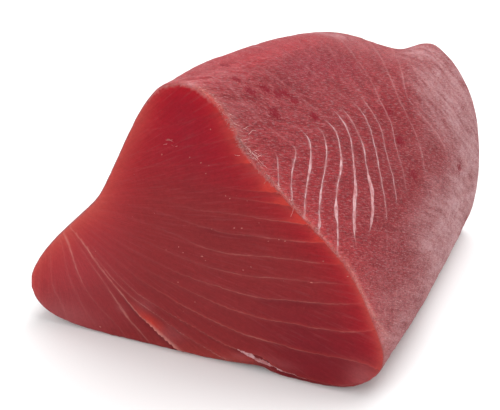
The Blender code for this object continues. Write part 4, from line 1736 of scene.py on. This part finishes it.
def build_stage(settings):
    scene = bpy.context.scene
    scene.view_settings.view_transform = "Standard"
    build_floor(settings)
    world = bpy.data.worlds.new("studio")
    world.use_nodes = True
    background = world.node_tree.nodes["Background"]
    background.inputs["Color"].default_value = (1.0, 1.0, 1.0, 1.0)
    background.inputs["Strength"].default_value = settings.sky
    scene.world = world
    area_light("key_light", settings.key, (0.8, 0.8), (0.15, 0.25, 1.0), (0.02, 0.0, 0.05))
    area_light("fill_light", settings.fill, (0.9, 0.6), (-0.6, -0.8, 0.6), (0.0, 0.0, 0.04))
    build_camera(settings)


# ---------------------------------------------------------------------------------------------
# Operators and panel

# The block's surface, which the flesh hands on to the pieces that lie on it.
BUILT = {}


def hand_over(piece):
    """Gives a finished piece its body."""
    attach(piece, BODY)


class TUNA_OT_flesh(bpy.types.Operator):
    """Build the block of red flesh, which stands for the solid"""

    bl_idname = "tuna.flesh"
    bl_label = "Flesh"

    def execute(self, context):
        piece, BUILT["block"] = build_flesh(context.scene.tuna_flesh)
        hand_over(piece)
        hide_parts(NODE)
        return {"FINISHED"}


class TUNA_OT_seams(bpy.types.Operator):
    """Build the white seams on the flank"""

    bl_idname = "tuna.seams"
    bl_label = "White seams"

    def execute(self, context):
        hand_over(build_seams(BUILT["block"], context.scene.tuna_seams))
        return {"FINISHED"}


class TUNA_OT_fibres(bpy.types.Operator):
    """Build the fibres frayed from the edge and the fuzz on the flank"""

    bl_idname = "tuna.fibres"
    bl_label = "Fibres"

    def execute(self, context):
        hand_over(build_fibres(BUILT["block"], context.scene.tuna_fibres))
        return {"FINISHED"}


class TUNA_OT_threads(bpy.types.Operator):
    """Build the curly white threads round the frayed edge"""

    bl_idname = "tuna.threads"
    bl_label = "Edge threads"

    def execute(self, context):
        hand_over(build_threads(BUILT["block"], context.scene.tuna_fibres))
        return {"FINISHED"}


class TUNA_OT_scraps(bpy.types.Operator):
    """Build the small scraps that cling to the cut and the flank"""

    bl_idname = "tuna.scraps"
    bl_label = "Scraps"

    def execute(self, context):
        hand_over(build_scraps(BUILT["block"], context.scene.tuna_fibres))
        return {"FINISHED"}


class TUNA_OT_stage(bpy.types.Operator):
    """Build the floor, the lights and the camera"""

    bl_idname = "tuna.stage"
    bl_label = "Stage"

    def execute(self, context):
        build_stage(context.scene.tuna_stage)
        return {"FINISHED"}


OPERATORS = (TUNA_OT_flesh, TUNA_OT_seams, TUNA_OT_fibres, TUNA_OT_threads, TUNA_OT_scraps,
             TUNA_OT_stage)
SETTINGS = {"tuna_flesh": TunaFleshSettings, "tuna_seams": TunaSeamSettings,
            "tuna_fibres": TunaFibreSettings, "tuna_stage": TunaStageSettings}


class TUNA_PT_panel(bpy.types.Panel):
    """Lists the pieces of the tuna steak and their settings"""

    bl_idname = "TUNA_PT_panel"
    bl_label = "Raw tuna steak"
    bl_space_type = "VIEW_3D"
    bl_region_type = "UI"
    bl_category = "Tuna"

    def draw(self, context):
        layout = self.layout
        for operator in OPERATORS:
            layout.operator(operator.bl_idname)
        for name, kind in SETTINGS.items():
            box = layout.box()
            box.label(text=kind.__doc__.split(".")[0])
            for label in kind.__annotations__:
                box.prop(getattr(context.scene, name), label)


CLASSES = (*SETTINGS.values(), *OPERATORS, TUNA_PT_panel)


def register():
    for kind in CLASSES:
        bpy.utils.register_class(kind)
    for name, kind in SETTINGS.items():
        setattr(bpy.types.Scene, name, PointerProperty(type=kind))


def unregister():
    for name in SETTINGS:
        delattr(bpy.types.Scene, name)
    for kind in reversed(CLASSES):
        bpy.utils.unregister_class(kind)


def main():
    register()
    for build in (bpy.ops.tuna.stage, bpy.ops.tuna.flesh, bpy.ops.tuna.seams,
                  bpy.ops.tuna.fibres, bpy.ops.tuna.threads, bpy.ops.tuna.scraps):
        build()


if __name__ == "__main__":
    main()
